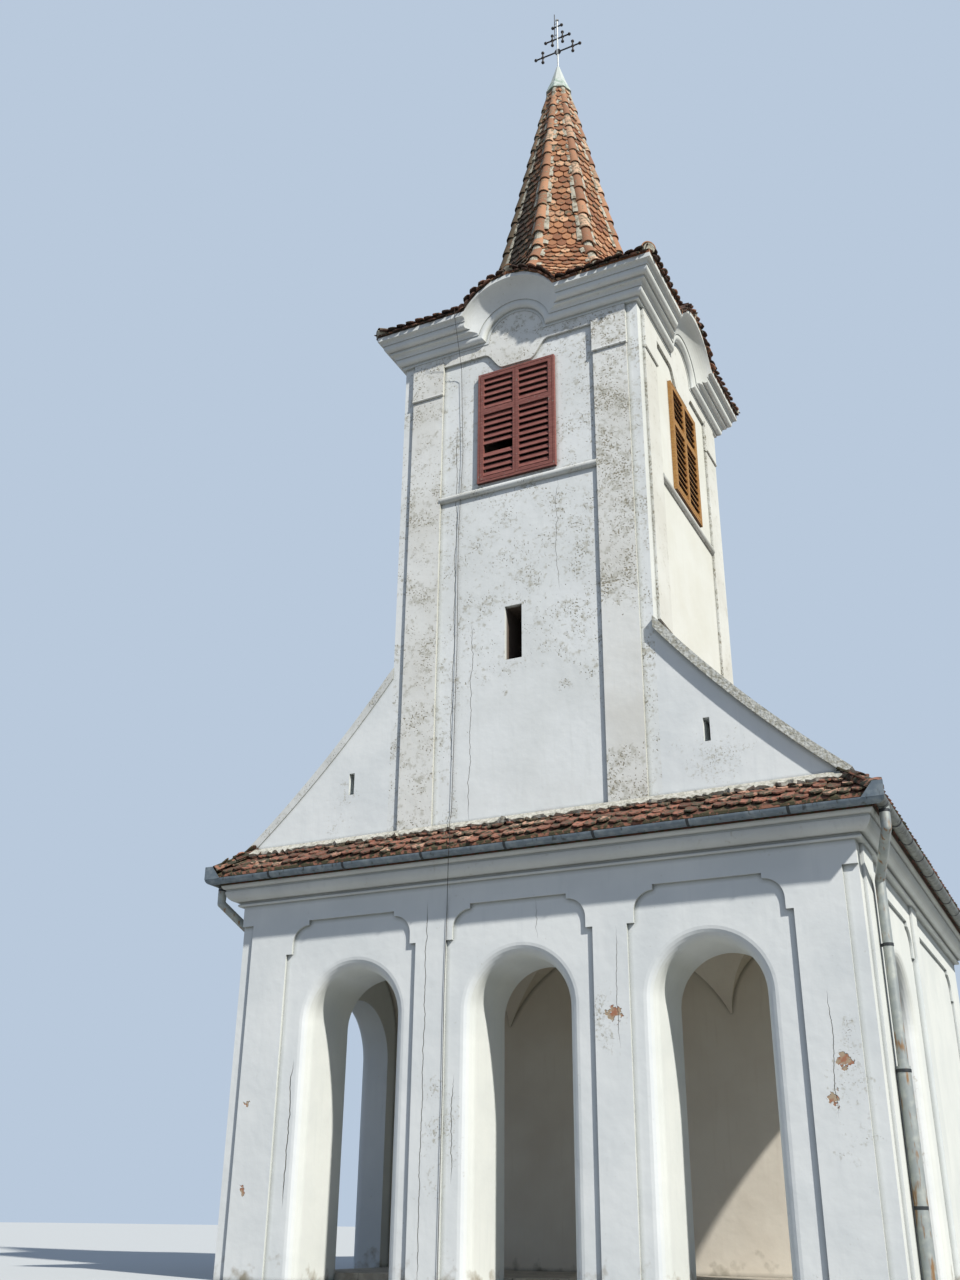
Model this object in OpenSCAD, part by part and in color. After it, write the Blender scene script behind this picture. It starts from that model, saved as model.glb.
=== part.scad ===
// Whitewashed church bell tower over an open, vaulted porch, with the first bay of the nave behind it.
// The origin is on the ground, under the tower's vertical axis. The front faces -Y.

/* [Tower] */
// Width of the square tower
tower_w = 4400; // [4200:10:4600]
// Thickness of the tower's walls
tower_wall_t = 600; // [500:10:700]
// Rise of the tower from the top of the porch's walls to its cornice
tower_rise = 9230; // [9000:10:9500]
// Width of the plain strips at the tower's corners
corner_strip_w = 200; // [150:10:250]
// Width of the tower's raised strips
tower_pilaster_w = 590; // [500:10:650]
// How far the tower's raised surface stands out beside its panels and corners
pilaster_out = 45; // [30:5:60]
// Height of the projecting blocks at the top of the tower's strips
capital_h = 650; // [500:10:700]
// How far these blocks stand out from their strips
capital_out = 20; // [10:5:40]
// From the cornice down to the heads of the tower's panels
head_band_h = 215; // [180:5:250]

/* [Tower cornice] */
// Height of the tower's cornice, from its lowest moulding to the tiles
cornice_h = 580; // [520:10:640]
// How far the tower's cornice stands out
cornice_out = 400; // [360:10:440]
// Radius inside the cornice's round arch
cornice_arch_r = 520; // [480:10:560]
// Half the width of the cornice's rise over its round arch
bump_half_w = 850; // [800:10:900]
// Height of that rise
bump_rise = 520; // [480:10:560]

/* [Belfry windows] */
// Width of a belfry opening
belfry_w = 1300; // [1200:10:1400]
// From the cornice down to the belfry openings' sills
belfry_drop = 2780; // [2700:10:2850]
// Height of a belfry opening
belfry_h = 2090; // [1900:10:2150]
// Width of the tower's slit window
slit_w = 290; // [260:10:320]
// Height of the tower's slit window
slit_h = 920; // [850:10:1000]
// From the top of the porch's walls up to the slit window
slit_rise = 3110; // [3000:10:3200]
// Width of a shutter's frame members, with the leaf's stile
shutter_frame = 110; // [90:5:130]
// Thickness of a shutter
shutter_t = 60; // [50:5:70]
// Thickness of a shutter's slats
slat_t = 16; // [12:1:20]
// Width of a shutter's slats
slat_w = 105; // [90:1:110]
// Spacing of a shutter's slats
slat_pitch = 118; // [110:1:130]

/* [Porch] */
// Half of the porch's width
porch_half_w = 4700; // [4550:10:4850]
// Height of the porch and nave walls
storey_h = 5520; // [5400:10:5640]
// Thickness of the porch's front wall
front_wall_t = 1080; // [950:10:1150]
// Thickness of the side walls
side_wall_t = 600; // [500:10:700]
// Thickness of the porch's floor
floor_t = 100; // [60:10:160]
// Length of the nave bay behind the porch
nave_bay = 4400; // [4200:10:4800]
// Thickness of the plain wall that ends the nave bay
party_t = 400; // [300:10:500]
// Thickness of the masonry over the vault's crown
vault_cover = 570; // [500:10:650]
// Rise of the vault, as a share of its span
vault_share = 0.44; // [0.42:0.01:0.46]
// Width of the plain strips at the porch's corners
porch_strip_w = 200; // [150:10:250]
// Width of the raised strips beside the porch's corners
corner_pilaster_w = 650; // [600:10:700]
// Width of the raised strips between the arches
pilaster_w = 490; // [440:10:540]
// How far the porch's raised surface stands out beside its panels and corners
porch_relief = 45; // [30:5:60]
// Depth of the sunk panels in the porch's and the nave's sides
side_panel_d = 40; // [30:5:60]

/* [Arches] */
// Width of a front arch at the wall's face
arch_w = 1770; // [1600:10:1900]
// From the tops of the arches up to the top of the walls
arch_head = 1220; // [1150:10:1300]
// How far the outer arches stand in from the middles of their panels
arch_shift = 60; // [0:5:80]
// Radius of the rounded edge round each arch
arch_bevel = 165; // [100:5:200]
// Width of a side arch at the wall's face
side_arch_w = 2100; // [1900:10:2200]

/* [Porch cornice and roof] */
// Height of the porch's cornice
porch_cornice_h = 310; // [270:10:340]
// How far the porch's cornice stands out
porch_cornice_out = 300; // [260:10:320]
// How far the tiles stand out from the walls
eave_out = 420; // [410:5:440]
// Thickness of the tiles at the eaves
eave_t = 40; // [30:5:60]
// Rise of the roofs for each unit of run
roof_pitch = 0.9; // [0.85:0.01:0.95]
// Thickness of the nave roof, measured straight down
roof_t = 180; // [140:10:220]
// Outer radius of the gutters
gutter_r = 80; // [70:5:85]
// Wall thickness of the gutters
gutter_t = 6; // [4:1:8]
// Diameter of the downpipes
pipe_d = 130; // [110:5:145]
// Diameter of the wider pipes at the foot
sleeve_d = 165; // [150:5:180]

/* [Wings] */
// How far the wings rise over the nave roof beside the tower
wing_rise = 375; // [340:5:450]
// Thickness of the wings
wing_t = 400; // [350:10:500]
// Thickness of the coping on the wings
coping_t = 125; // [100:5:150]
// How far the coping stands out in front of the right wing
coping_out = 85; // [60:5:110]
// How far the coping stands out in front of the left wing
left_coping_out = 15; // [10:5:30]
// Width of the wings' slit windows
wing_slit_w = 95; // [80:5:120]
// Height of the wings' slit windows
wing_slit_h = 350; // [300:10:400]
// From the top of the porch's walls up to the wings' slit windows
wing_slit_rise = 1300; // [1200:10:1400]
// From the tower to the middle of the wings' slit windows
wing_slit_x = 680; // [620:10:740]

/* [Spire] */
// Height of the spire's flared foot, from the eaves to the straight part
foot_h = 2220; // [2100:10:2350]
// Height of the spire's straight part
shaft_h = 5300; // [5100:10:5500]
// Radius of the spire at its straight part's foot
shaft_r = 1225; // [1150:5:1280]
// Radius of the spire at the top of the tiles
shaft_top_r = 190; // [170:10:220]
// Thickness of the spire's shell
shell_t = 110; // [80:10:140]
// Thickness of the tiles at the tower's eaves
tile_t = 70; // [50:5:90]
// Radius of the half-round tiles on the hips
hip_r = 100; // [85:5:110]
// Height of the mortar cap at the top
cap_h = 850; // [780:10:920]

/* [Cross] */
// Height of the cross above the cap, up to its top ball
cross_h = 1480; // [1380:10:1580]
// Length of the cross's lower bar
bar_w = 1050; // [950:10:1150]
// Thickness of the cross's iron
iron_t = 34; // [28:1:40]
// Radius of the balls on the cross
ball_r = 36; // [30:1:42]

/* [Hidden] */
$fn = 48;
cut = 20; // how far a cutting shape runs past a face

half_w = tower_w / 2;
front_y = -half_w;
porch_y1 = half_w - tower_wall_t; // front face of the porch's back wall
porch_y0 = front_y + front_wall_t; // back face of the porch's front wall
nave_end_y = half_w + nave_bay;
cornice_foot_z = storey_h - porch_cornice_h;

// Fronts of the porch: three bays, with raised strips beside them and a sunk panel in each
bay_w = (2 * (porch_half_w - porch_strip_w - corner_pilaster_w) - 2 * pilaster_w) / 3;
bay_pitch = bay_w + pilaster_w;
panel_top_z = cornice_foot_z - 310;
panel_step = 100;
panel_round = 280;
arch_spring_z = storey_h - arch_head - arch_w / 2;

// Sides of the porch and the nave, measured back from the porch's front
side_panel_y = [1300, tower_w - 400];
side_pilaster_y = [[porch_strip_w, porch_strip_w + corner_pilaster_w], [tower_w - 400, tower_w + 40]];
nave_panel_y = [tower_w + 40, tower_w + nave_bay - 510];

// Tower faces
tower_panel_half = half_w - corner_strip_w - tower_pilaster_w;
cornice_z = storey_h + tower_rise;
frieze_h = 150; // between the blocks at the strips' tops and the cornice
tower_panel_z = cornice_z - head_band_h;
capital_z = cornice_z - frieze_h - capital_h;
cornice_top_z = cornice_z + cornice_h;
cornice_eave_half = half_w + cornice_out;
bump_r = (bump_half_w * bump_half_w + bump_rise * bump_rise) / (2 * bump_rise);
bump_z = cornice_top_z + bump_rise - bump_r; // middle of the cornice's round top
belfry_z = cornice_z - belfry_drop;
slit_x = -75; // the slit stands a little left of the middle
slit_z = storey_h + slit_rise;

eave_z = storey_h + 150; // top of the tiles at the porch's eaves
skirt_top_z = eave_z + eave_out * roof_pitch;
ridge_z = eave_z + (porch_half_w + eave_out) * roof_pitch;
wing_top_z = skirt_top_z + (porch_half_w - half_w) * roof_pitch + wing_rise;
shaft_z = cornice_top_z + foot_h;
shaft_top_z = shaft_z + shaft_h;

// Shapes shared by several pieces

// Points of an arc about c, from angle a to angle b
function arc(c, r, a, b, n = 8) = [for (i = [0:n]) let (f = a + (b - a) * i / n) c + r * [cos(f), sin(f)]];

// A point on the curve from p through the pull of q to s
function bend(p, q, s, t) = (1 - t) * (1 - t) * p + 2 * t * (1 - t) * q + t * t * s;

// Puts a shape drawn for the front face on face k: front, right, back, left
module on_face(k) rotate([0, 0, 90 * k]) children();

// Extrudes an outline in the X-Z plane by t along +Y, from y
module upright(y, t) translate([0, y + t, 0]) rotate([90, 0, 0]) linear_extrude(height = t) children();

// Outline of a sunk panel: square shoulders, then a quarter round and a step on each side
module panel_outline(half, foot, top) {
    shoulder = top - 490;
    inner = half - panel_step;
    side = concat([[half, foot], [half, shoulder], [inner, shoulder], [inner, top - 70 - panel_round]],
        arc([inner - panel_round, top - 70 - panel_round], panel_round, 0, 90, 10),
        [[inner - panel_round, top]]);
    polygon(concat(side, [for (i = [len(side) - 1:-1:0]) [-side[i][0], side[i][1]]]));
}

// Cuts a round-headed arch with a rounded edge through a wall whose face is at y = 0
module arch_cut(w, spring, depth) {
    r = w / 2 - arch_bevel;
    half = concat([[0, depth + cut], [0, -cut], [w / 2, -cut]],
        [for (a = [0:15:90]) [r + arch_bevel * (1 - sin(a)), arch_bevel * (1 - cos(a))]], [[r, depth + cut]]);
    translate([0, 0, -cut]) linear_extrude(height = spring + cut) {
        polygon(half);
        mirror([1, 0]) polygon(half);
    }
    translate([0, 0, spring]) rotate([-90, 0, 0]) rotate_extrude($fn = 72) polygon(half);
}

// Keeps the part of a front moulding between two mitres that run out from x0 and x1 at the wall
module mitred(x0, x1, out, m0 = 1, m1 = 1) intersection() {
    children();
    linear_extrude(height = 2 * cornice_top_z)
        polygon([[x0, 0], [x0 - m0 * out, -out], [x1 + m1 * out, -out], [x1, 0]]);
}

// Porch

module porch_floor() color("darkgray")
    translate([-porch_half_w + side_wall_t, porch_y0, 0])
        cube([2 * (porch_half_w - side_wall_t), porch_y1 - porch_y0, floor_t]);

module porch_front_wall() color("whitesmoke") translate([0, front_y, 0]) difference() {
    upright(0, front_wall_t) polygon([[-porch_half_w, 0], [porch_half_w, 0], [porch_half_w, storey_h],
        [-porch_half_w, storey_h]]);
    for (i = [-1:1]) translate([i * (bay_pitch - arch_shift), 0, 0])
        arch_cut(arch_w, arch_spring_z, front_wall_t);
}

module porch_back_wall() color("whitesmoke")
    translate([-porch_half_w + side_wall_t, porch_y1, 0])
        cube([2 * (porch_half_w - side_wall_t), tower_wall_t, storey_h]);

// The right porch wall, with its open arch
module porch_side_wall() difference() {
    translate([porch_half_w - side_wall_t, porch_y0, 0]) cube([side_wall_t, half_w - porch_y0, storey_h]);
    translate([porch_half_w, front_y + (side_panel_y[0] + side_panel_y[1]) / 2, 0]) rotate([0, 0, 90]) {
        upright(-cut, side_panel_d + cut)
            panel_outline((side_panel_y[1] - side_panel_y[0]) / 2, -cut, panel_top_z);
        translate([0, side_panel_d, 0]) arch_cut(side_arch_w, arch_spring_z + (arch_w - side_arch_w) / 2,
            side_wall_t - side_panel_d);
    }
}
module left_porch_wall() color("whitesmoke") mirror([1, 0, 0]) porch_side_wall();
module right_porch_wall() color("whitesmoke") porch_side_wall();

// The right wall of the nave bay, with one sunk panel
module nave_wall() difference() {
    translate([porch_half_w - side_wall_t, half_w, 0]) cube([side_wall_t, nave_bay, storey_h]);
    translate([porch_half_w, front_y + (nave_panel_y[0] + nave_panel_y[1]) / 2, 0]) rotate([0, 0, 90])
        upright(-cut, side_panel_d + cut)
            panel_outline((nave_panel_y[1] - nave_panel_y[0]) / 2, -cut, panel_top_z);
}
module left_nave_wall() color("whitesmoke") mirror([1, 0, 0]) nave_wall();
module right_nave_wall() color("whitesmoke") nave_wall();

module party_wall() color("whitesmoke") upright(nave_end_y, party_t)
    polygon([[-porch_half_w, 0], [porch_half_w, 0], [porch_half_w, storey_h],
        [porch_half_w, eave_z - roof_t + eave_out * roof_pitch], [0, ridge_z - roof_t],
        [-porch_half_w, eave_z - roof_t + eave_out * roof_pitch], [-porch_half_w, storey_h]]);

// Outline of a vault's hollow: an arc of the given span and rise over its springing at z
module barrel_outline(span, rise, z) {
    r = (span * span / 4 + rise * rise) / (2 * rise);
    a = acos((r - rise) / r);
    polygon(concat([[span / 2, z - cut], [-span / 2, z - cut]],
        arc([0, z + rise - r], r, 90 + a, 90 - a, 32)));
}

// Groined vault: one long barrel crossed by a wide bay under the tower and a narrow one in each wing
module porch_vault() {
    half = porch_half_w - side_wall_t;
    depth = porch_y1 - porch_y0;
    nib = 15; // left at the walls at the vault's springing
    rise = vault_share * depth;
    crown_z = storey_h - vault_cover;
    spring_z = crown_z - rise;
    bay_half = half_w - tower_wall_t / 2;
    side_span = half - bay_half;
    color("gainsboro") difference() {
        translate([-half, porch_y0, spring_z]) cube([2 * half, depth, storey_h - spring_z]);
        translate([0, (porch_y0 + porch_y1) / 2, 0]) rotate([0, 0, 90])
            upright(-half - cut, 2 * half + 2 * cut) barrel_outline(depth - 2 * nib, rise, spring_z);
        upright(porch_y0 - cut, depth + 2 * cut) {
            barrel_outline(2 * bay_half - 2 * nib, rise, spring_z);
            for (s = [-1, 1]) translate([s * (bay_half + side_span / 2), 0])
                barrel_outline(side_span - 2 * nib, min(side_span / 2 - nib, rise), spring_z);
        }
    }
}

// The front's raised surface: strips beside the three panels, and a band over them out to the corners
module front_pilasters() color("white") translate([0, front_y, 0]) difference() {
    corner = porch_half_w - porch_strip_w;
    upright(-porch_relief, porch_relief) polygon([[-corner, 0], [corner, 0], [corner, panel_top_z],
        [porch_half_w, panel_top_z], [porch_half_w, cornice_foot_z], [-porch_half_w, cornice_foot_z],
        [-porch_half_w, panel_top_z], [-corner, panel_top_z]]);
    for (i = [-1:1]) upright(-porch_relief - cut, porch_relief + 2 * cut) translate([i * bay_pitch, 0])
        panel_outline(bay_w / 2, -cut, panel_top_z);
}

module side_pilasters() for (p = side_pilaster_y)
    translate([porch_half_w, front_y + p[0], 0]) cube([porch_relief, p[1] - p[0], cornice_foot_z]);
module left_pilasters() color("white") mirror([1, 0, 0]) side_pilasters();
module right_pilasters() color("white") side_pilasters();

// Section of the porch's cornice: out from the wall, and up
module porch_cornice_section() {
    o = porch_cornice_out;
    h = porch_cornice_h;
    polygon(concat([[0, 0], [75, 0]], arc([75, 22], 22, -90, 90, 6), [[75, 70], [100, 70]],
        arc([100, h - 90], h - 160, -90, 0, 8), [[o - 60, h - 90], [o - 60, h - 60]],
        arc([o - 60, h], 60, -90, 0, 6), [[0, h]]));
}

// A straight length of moulding along a wall whose face is at y = 0, from x0 to x1, mitred at its ends
module moulding(x0, x1, out, m0 = 1, m1 = 1) mitred(x0, x1, out, m0, m1)
    translate([x1 + 2 * out, 0, 0]) rotate([90, 0, -90])
        linear_extrude(height = x1 - x0 + 4 * out) children();

module porch_cornice_front() color("whitesmoke") translate([0, front_y, cornice_foot_z])
    moulding(-porch_half_w, porch_half_w, porch_cornice_out) porch_cornice_section();
module side_cornice() on_face(1) translate([0, -porch_half_w, cornice_foot_z])
    moulding(front_y, nave_end_y + party_t, porch_cornice_out, 1, 0) porch_cornice_section();
module porch_cornice_left() color("whitesmoke") mirror([1, 0, 0]) side_cornice();
module porch_cornice_right() color("whitesmoke") side_cornice();

// Roofs

// Section of the tiled skirt over the porch's cornice
module skirt_section() polygon([[0, 0], [porch_cornice_out, 0], [porch_cornice_out, 80],
    [eave_out, eave_z - storey_h - eave_t], [eave_out, eave_z - storey_h], [0, skirt_top_z - storey_h]]);

module eave_skirt() color("sienna") translate([0, front_y, storey_h])
    moulding(-porch_half_w, porch_half_w, eave_out + cut) skirt_section();

// The right slope of the nave roof, from its eave to the ridge, round the tower's wall
module nave_roof() {
    roof_y0 = front_y + wing_t;
    difference() {
        union() {
            upright(roof_y0, nave_end_y + party_t - roof_y0) polygon([[0, ridge_z], [0, ridge_z - roof_t],
                [porch_half_w, skirt_top_z - roof_t], [porch_half_w, eave_z - eave_t],
                [porch_half_w + eave_out, eave_z - eave_t], [porch_half_w + eave_out, eave_z]]);
            on_face(1) translate([0, -porch_half_w, storey_h])
                moulding(front_y, nave_end_y + party_t, eave_out + cut, 1, 0) skirt_section();
        }
        translate([-cut, -half_w - cut, 0]) cube([half_w + cut, tower_w + cut, 2 * ridge_z]);
    }
}
module nave_roof_left() color("saddlebrown") mirror([1, 0, 0]) nave_roof();
module nave_roof_right() color("saddlebrown") nave_roof();
module nave_ridge() color("peru") difference() {
    ridge_r = 110;
    low = 4 * ridge_r;
    translate([0, half_w, ridge_z - 30]) rotate([-90, 0, 0])
        cylinder(h = nave_bay + party_t, r = ridge_r, $fn = 24);
    upright(half_w - cut, nave_bay + party_t + 2 * cut)
        polygon([[0, ridge_z], [low, ridge_z - low * roof_pitch], [-low, ridge_z - low * roof_pitch]]);
}

// Wings: gable walls that sweep down from the tower to the porch's corners

wing_head = [half_w, wing_top_z];
wing_foot = [porch_half_w, skirt_top_z + 10];
wing_steps = 14;
// A point on the wing's top, from the tower (t = 0) to the corner (t = 1), a little hollow in between
function wing_point(t) = bend(wing_head, (wing_head + wing_foot) / 2 - [132, 122], wing_foot, t);
// A point on top of the coping, square to the curve
function coping_point(t) = let (d = wing_point(t + 0.01) - wing_point(t))
    wing_point(t) + coping_t * [-d[1], d[0]] / norm(d);

module wing() difference() {
    upright(front_y, wing_t) polygon(concat([[half_w, storey_h], [porch_half_w, storey_h]],
        [for (i = [wing_steps:-1:0]) wing_point(i / wing_steps)]));
    translate([half_w + wing_slit_x - wing_slit_w / 2, front_y - cut, storey_h + wing_slit_rise])
        cube([wing_slit_w, wing_t + 2 * cut, wing_slit_h]);
}
module left_wing() color("whitesmoke") mirror([1, 0, 0]) wing();
module right_wing() color("whitesmoke") wing();

// The right wing's coping, standing out in front by out
module coping(out) upright(front_y - out, wing_t + out)
    polygon(concat([for (i = [0:wing_steps]) wing_point(i / wing_steps)],
        [for (i = [wing_steps:-1:0]) coping_point(i / wing_steps)],
        [[half_w, wing_top_z + 1.5 * coping_t]]));
module left_coping() color("silver") mirror([1, 0, 0]) coping(left_coping_out);
module right_coping() color("silver") coping(coping_out);

// Gutters and pipes

gutter_at = porch_cornice_out + 30 + gutter_r; // from the wall to the middle of the gutter
gutter_z = storey_h + 80;
gutter_out = gutter_at + gutter_r;
front_bracket_pitch = 1330;
side_bracket_pitch = 950;
side_bracket_y = 720; // from the porch's front to the first of the side brackets

// Half a ring, open at the top, with its middle where the gutter's is
module half_ring(r, t) translate([gutter_at, gutter_z]) difference() {
    circle(r = r);
    circle(r = r - t);
    translate([-2 * gutter_r, 0]) square([4 * gutter_r, 2 * gutter_r]);
}

// A strap under the gutter, with an arm to the cornice
module bracket() rotate([90, 0, -90]) translate([0, 0, -15]) linear_extrude(height = 30) {
    half_ring(gutter_r + 6, 6);
    translate([porch_cornice_out, gutter_z - 12]) square([gutter_at - gutter_r - porch_cornice_out + 3, 12]);
}

// The upright plate at a corner that keeps the rain from shooting over the gutter
module splash_plate() translate([porch_half_w + gutter_out, -gutter_out, gutter_z])
    rotate([90, 0, 0]) linear_extrude(height = gutter_t)
        polygon([[0, -10], [0, 190], [-130, 190], [-290, -10]]);

module gutter_front() color("slategray") translate([0, front_y, 0]) {
    moulding(-porch_half_w, porch_half_w, gutter_out + cut) half_ring(gutter_r, gutter_t);
    for (i = [-3:3]) translate([i * front_bracket_pitch, 0, 0]) bracket();
    splash_plate();
    mirror([1, 0, 0]) splash_plate();
}
module side_gutter() on_face(1) translate([0, -porch_half_w, 0]) {
    first = front_y + side_bracket_y;
    moulding(front_y, nave_end_y + party_t, gutter_out + cut, 1, 0) half_ring(gutter_r, gutter_t);
    for (y = [first:side_bracket_pitch:nave_end_y + party_t - 100]) translate([y, 0, 0]) bracket();
}
module gutter_sides() color("slategray") {
    side_gutter();
    mirror([1, 0, 0]) side_gutter();
}

// A pipe down the side wall, fed by a slanting neck from the side gutter
module downpipe() {
    x = porch_half_w + porch_relief + 15 + sleeve_d / 2;
    y = front_y + 610;
    neck_run = 720; // from the pipe forward to the outlet
    outlet = [porch_half_w + gutter_at, y - neck_run];
    outlet_z = gutter_z - gutter_r - 230;
    outlet_h = 300;
    bend_z = cornice_foot_z - 400;
    sleeve_z = 2530;
    clamp_h = 35;
    clamp_rise = 1440; // from the sleeve's top to the upper clamp
    translate([x, y, 0]) cylinder(h = sleeve_z, d = sleeve_d);
    translate([x, y, sleeve_z]) cylinder(h = bend_z - sleeve_z, d = pipe_d);
    for (c = [[sleeve_z - 2 * clamp_h, sleeve_d], [sleeve_z + clamp_rise, pipe_d]]) translate([x, y, c[0]]) {
        cylinder(h = clamp_h, d = c[1] + 12);
        translate([-sleeve_d / 2 - 10, -15, 0]) cube([sleeve_d / 2, 30, clamp_h]);
    }
    hull() {
        translate([x, y, bend_z]) sphere(d = pipe_d, $fn = 24);
        translate([outlet[0], outlet[1], outlet_z]) sphere(d = pipe_d, $fn = 24);
    }
    difference() {
        translate([outlet[0], outlet[1], outlet_z]) cylinder(h = outlet_h, d1 = pipe_d, d2 = pipe_d + 10);
        translate([outlet[0], 0, gutter_z]) rotate([-90, 0, 0])
            cylinder(h = tower_w, r = gutter_r, center = true);
    }
}
module downpipes() color("lightslategray") {
    downpipe();
    mirror([1, 0, 0]) downpipe();
}

// Tower

// Outline of the tower's sunk panel, whose head dips over the window
module tower_panel() {
    dip = 350;
    x0 = cornice_arch_r - 270;
    x1 = cornice_arch_r + 80;
    head = [for (i = [0:8]) let (x = x0 + (x1 - x0) * i / 8)
        [x, tower_panel_z - dip * (1 + cos(180 * i / 8)) / 2]];
    side = concat(head, [[tower_panel_half, tower_panel_z], [tower_panel_half, storey_h - cut]]);
    polygon(concat([for (p = side) p], [for (i = [len(side) - 1:-1:0]) [-side[i][0], side[i][1]]]));
}

// A tower wall in the front face's place, half_len to each side
module tower_wall(half_len) translate([0, front_y, 0]) difference() {
    union() {
        translate([-half_len, 0, storey_h]) cube([2 * half_len, tower_wall_t, cornice_top_z - storey_h]);
        translate([0, 0, bump_z]) rotate([-90, 0, 0]) cylinder(h = tower_wall_t, r = bump_r, $fn = 96);
    }
    translate([-belfry_w / 2, -cut, belfry_z]) cube([belfry_w, tower_wall_t + 2 * cut, belfry_h]);
}

module tower_front_wall() color("whitesmoke") difference() {
    tower_wall(half_w);
    translate([slit_x - slit_w / 2, front_y - cut, slit_z]) cube([slit_w, tower_wall_t + 2 * cut, slit_h]);
}
module tower_right_wall() color("whitesmoke") on_face(1) tower_wall(half_w - tower_wall_t);
module tower_back_wall() color("whitesmoke") on_face(2) tower_wall(half_w);
module tower_left_wall() color("whitesmoke") on_face(3) tower_wall(half_w - tower_wall_t);

capital_lap = 10;
capital_bead_r = 24;
// One face's raised surface: a strip on each side and a head over the panel, up into the cornice's round
// arch. The strips end in blocks, each with a rounded ledge at its foot
module face_pilasters(foot) {
    edge = tower_panel_half + tower_pilaster_w;
    block_w = tower_pilaster_w + 2 * capital_lap;
    difference() {
        union() {
            translate([-edge, front_y - pilaster_out, foot]) cube([2 * edge, pilaster_out, cornice_z - foot]);
            translate([0, front_y, cornice_z]) rotate([90, 0, 0])
                cylinder(h = pilaster_out, r = cornice_arch_r, $fn = 96);
        }
        upright(front_y - pilaster_out - cut, pilaster_out + 2 * cut) tower_panel();
    }
    for (x = [tower_panel_half, -edge])
        translate([x - capital_lap, front_y - pilaster_out - capital_out, capital_z]) {
            cube([block_w, pilaster_out + capital_out, capital_h]);
            translate([0, capital_bead_r / 2, 0]) rotate([0, 90, 0])
                cylinder(h = block_w, r = capital_bead_r, $fn = 24);
        }
}
high_foot_z = wing_top_z + 2 * coping_t;
module tower_pilasters() color("lightgray") {
    face_pilasters(skirt_top_z + 20);
    for (k = [1:3]) on_face(k) face_pilasters(high_foot_z);
}

// Half rounds across the panels under the windows
module belfry_sills() color("white") for (k = [0:3]) on_face(k) {
    r = 65;
    translate([0, front_y, belfry_z - 3 * r]) intersection() {
        rotate([0, 90, 0]) cylinder(h = 2 * tower_panel_half, r = r, center = true);
        translate([-tower_panel_half, -r, -r]) cube([2 * tower_panel_half, r, 2 * r]);
    }
}

// A quarter round from p, size out and up: bulging, or hollow
function quarter(p, size, hollow) = [for (a = [0:15:90])
    p + (hollow ? [size[0] * (1 - cos(a)), size[1] * sin(a)] : [size[0] * sin(a), size[1] * (1 - cos(a))])];

cornice_steps = 4;
cornice_base = pilaster_out + 10; // how far the lowest moulding stands out
cornice_top_band = 80;
step_out = (cornice_out - cornice_base) / cornice_steps;
step_h = (cornice_h - cornice_top_band) / cornice_steps;
step_band = 0.4 * step_h; // the upright part of a step, under its quarter round
step_ledge = step_out / 6;

// One step of the tower's cornice, the i-th from below: out from the wall, and up from the lowest line
function cornice_step(i) = let (p = [cornice_base + i * step_out, i * step_h])
    concat([p, p + [0, step_band]], quarter(p + [step_ledge, step_band],
        [step_out - step_ledge, step_h - step_band], i % 2 == 1));

// The section of the round arch's edge: the lowest mouldings, then a plain hollow up to the top band
arch_lines = concat([[0, 0]], cornice_step(0), [for (i = [0:2]) cornice_step(1)[i]]);
hollow_foot = arch_lines[len(arch_lines) - 1];
hollow_head = [cornice_out, cornice_h - cornice_top_band];
arch_points = concat(arch_lines,
    [for (i = [1:8]) bend(hollow_foot, [0.57 * cornice_out, 0.7 * cornice_h], hollow_head, i / 8)]);

// The cornice of one face. Its lowest mouldings turn round a half circle in the middle
module tower_cornice() translate([0, front_y, cornice_z]) {
    o = cornice_out;
    top = bump_z + bump_r - cornice_z + cut;
    pts = concat([[0, 0]], [for (i = [0:cornice_steps - 1], p = cornice_step(i)) p], [[o, top], [0, top]]);
    mitred(-half_w, half_w, o + cut) intersection() {
        translate([half_w + 2 * o, 0, 0]) rotate([90, 0, -90]) linear_extrude(height = tower_w + 4 * o)
            polygon(pts);
        rotate([90, 0, 0]) rotate_extrude($fn = 96) polygon(concat(
            [for (p = arch_points) [cornice_arch_r + p[1], p[0]]], [[4 * half_w, o], [4 * half_w, 0]]));
        union() {
            translate([-half_w - 2 * o, -2 * o, 0]) cube([tower_w + 4 * o, 2 * o, cornice_h]);
            translate([0, cut, bump_z - cornice_z]) rotate([90, 0, 0])
                cylinder(h = 2 * o, r = bump_r, $fn = 96);
        }
    }
}
module tower_cornice_front() color("gainsboro") tower_cornice();
module tower_cornice_right() color("gainsboro") on_face(1) tower_cornice();
module tower_cornice_back() color("gainsboro") on_face(2) tower_cornice();
module tower_cornice_left() color("gainsboro") on_face(3) tower_cornice();

// Louvred shutters

shutter_lap = 60; // how far a shutter's frame laps the wall round the opening
shutter_half = belfry_w / 2 + shutter_lap;
shutter_h = belfry_h + 2 * shutter_lap;
mid_rail_z = 0.64 * shutter_h;
slat_slope = 70; // degrees, with the outer edge low

// One tier of slats between the frame members, from z0 to z1, without the one that is lost
module slats(x0, x1, z0, z1, lost = -1) {
    n = floor((z1 - z0) / slat_pitch);
    gap = (z1 - z0) / n;
    for (i = [0:n - 1]) if (i != lost) translate([x0 - 2, shutter_t / 2, z0 + (i + 0.5) * gap])
        rotate([slat_slope, 0, 0]) translate([0, -slat_w / 2, -slat_t / 2]) cube([x1 - x0 + 4, slat_w, slat_t]);
}

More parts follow.
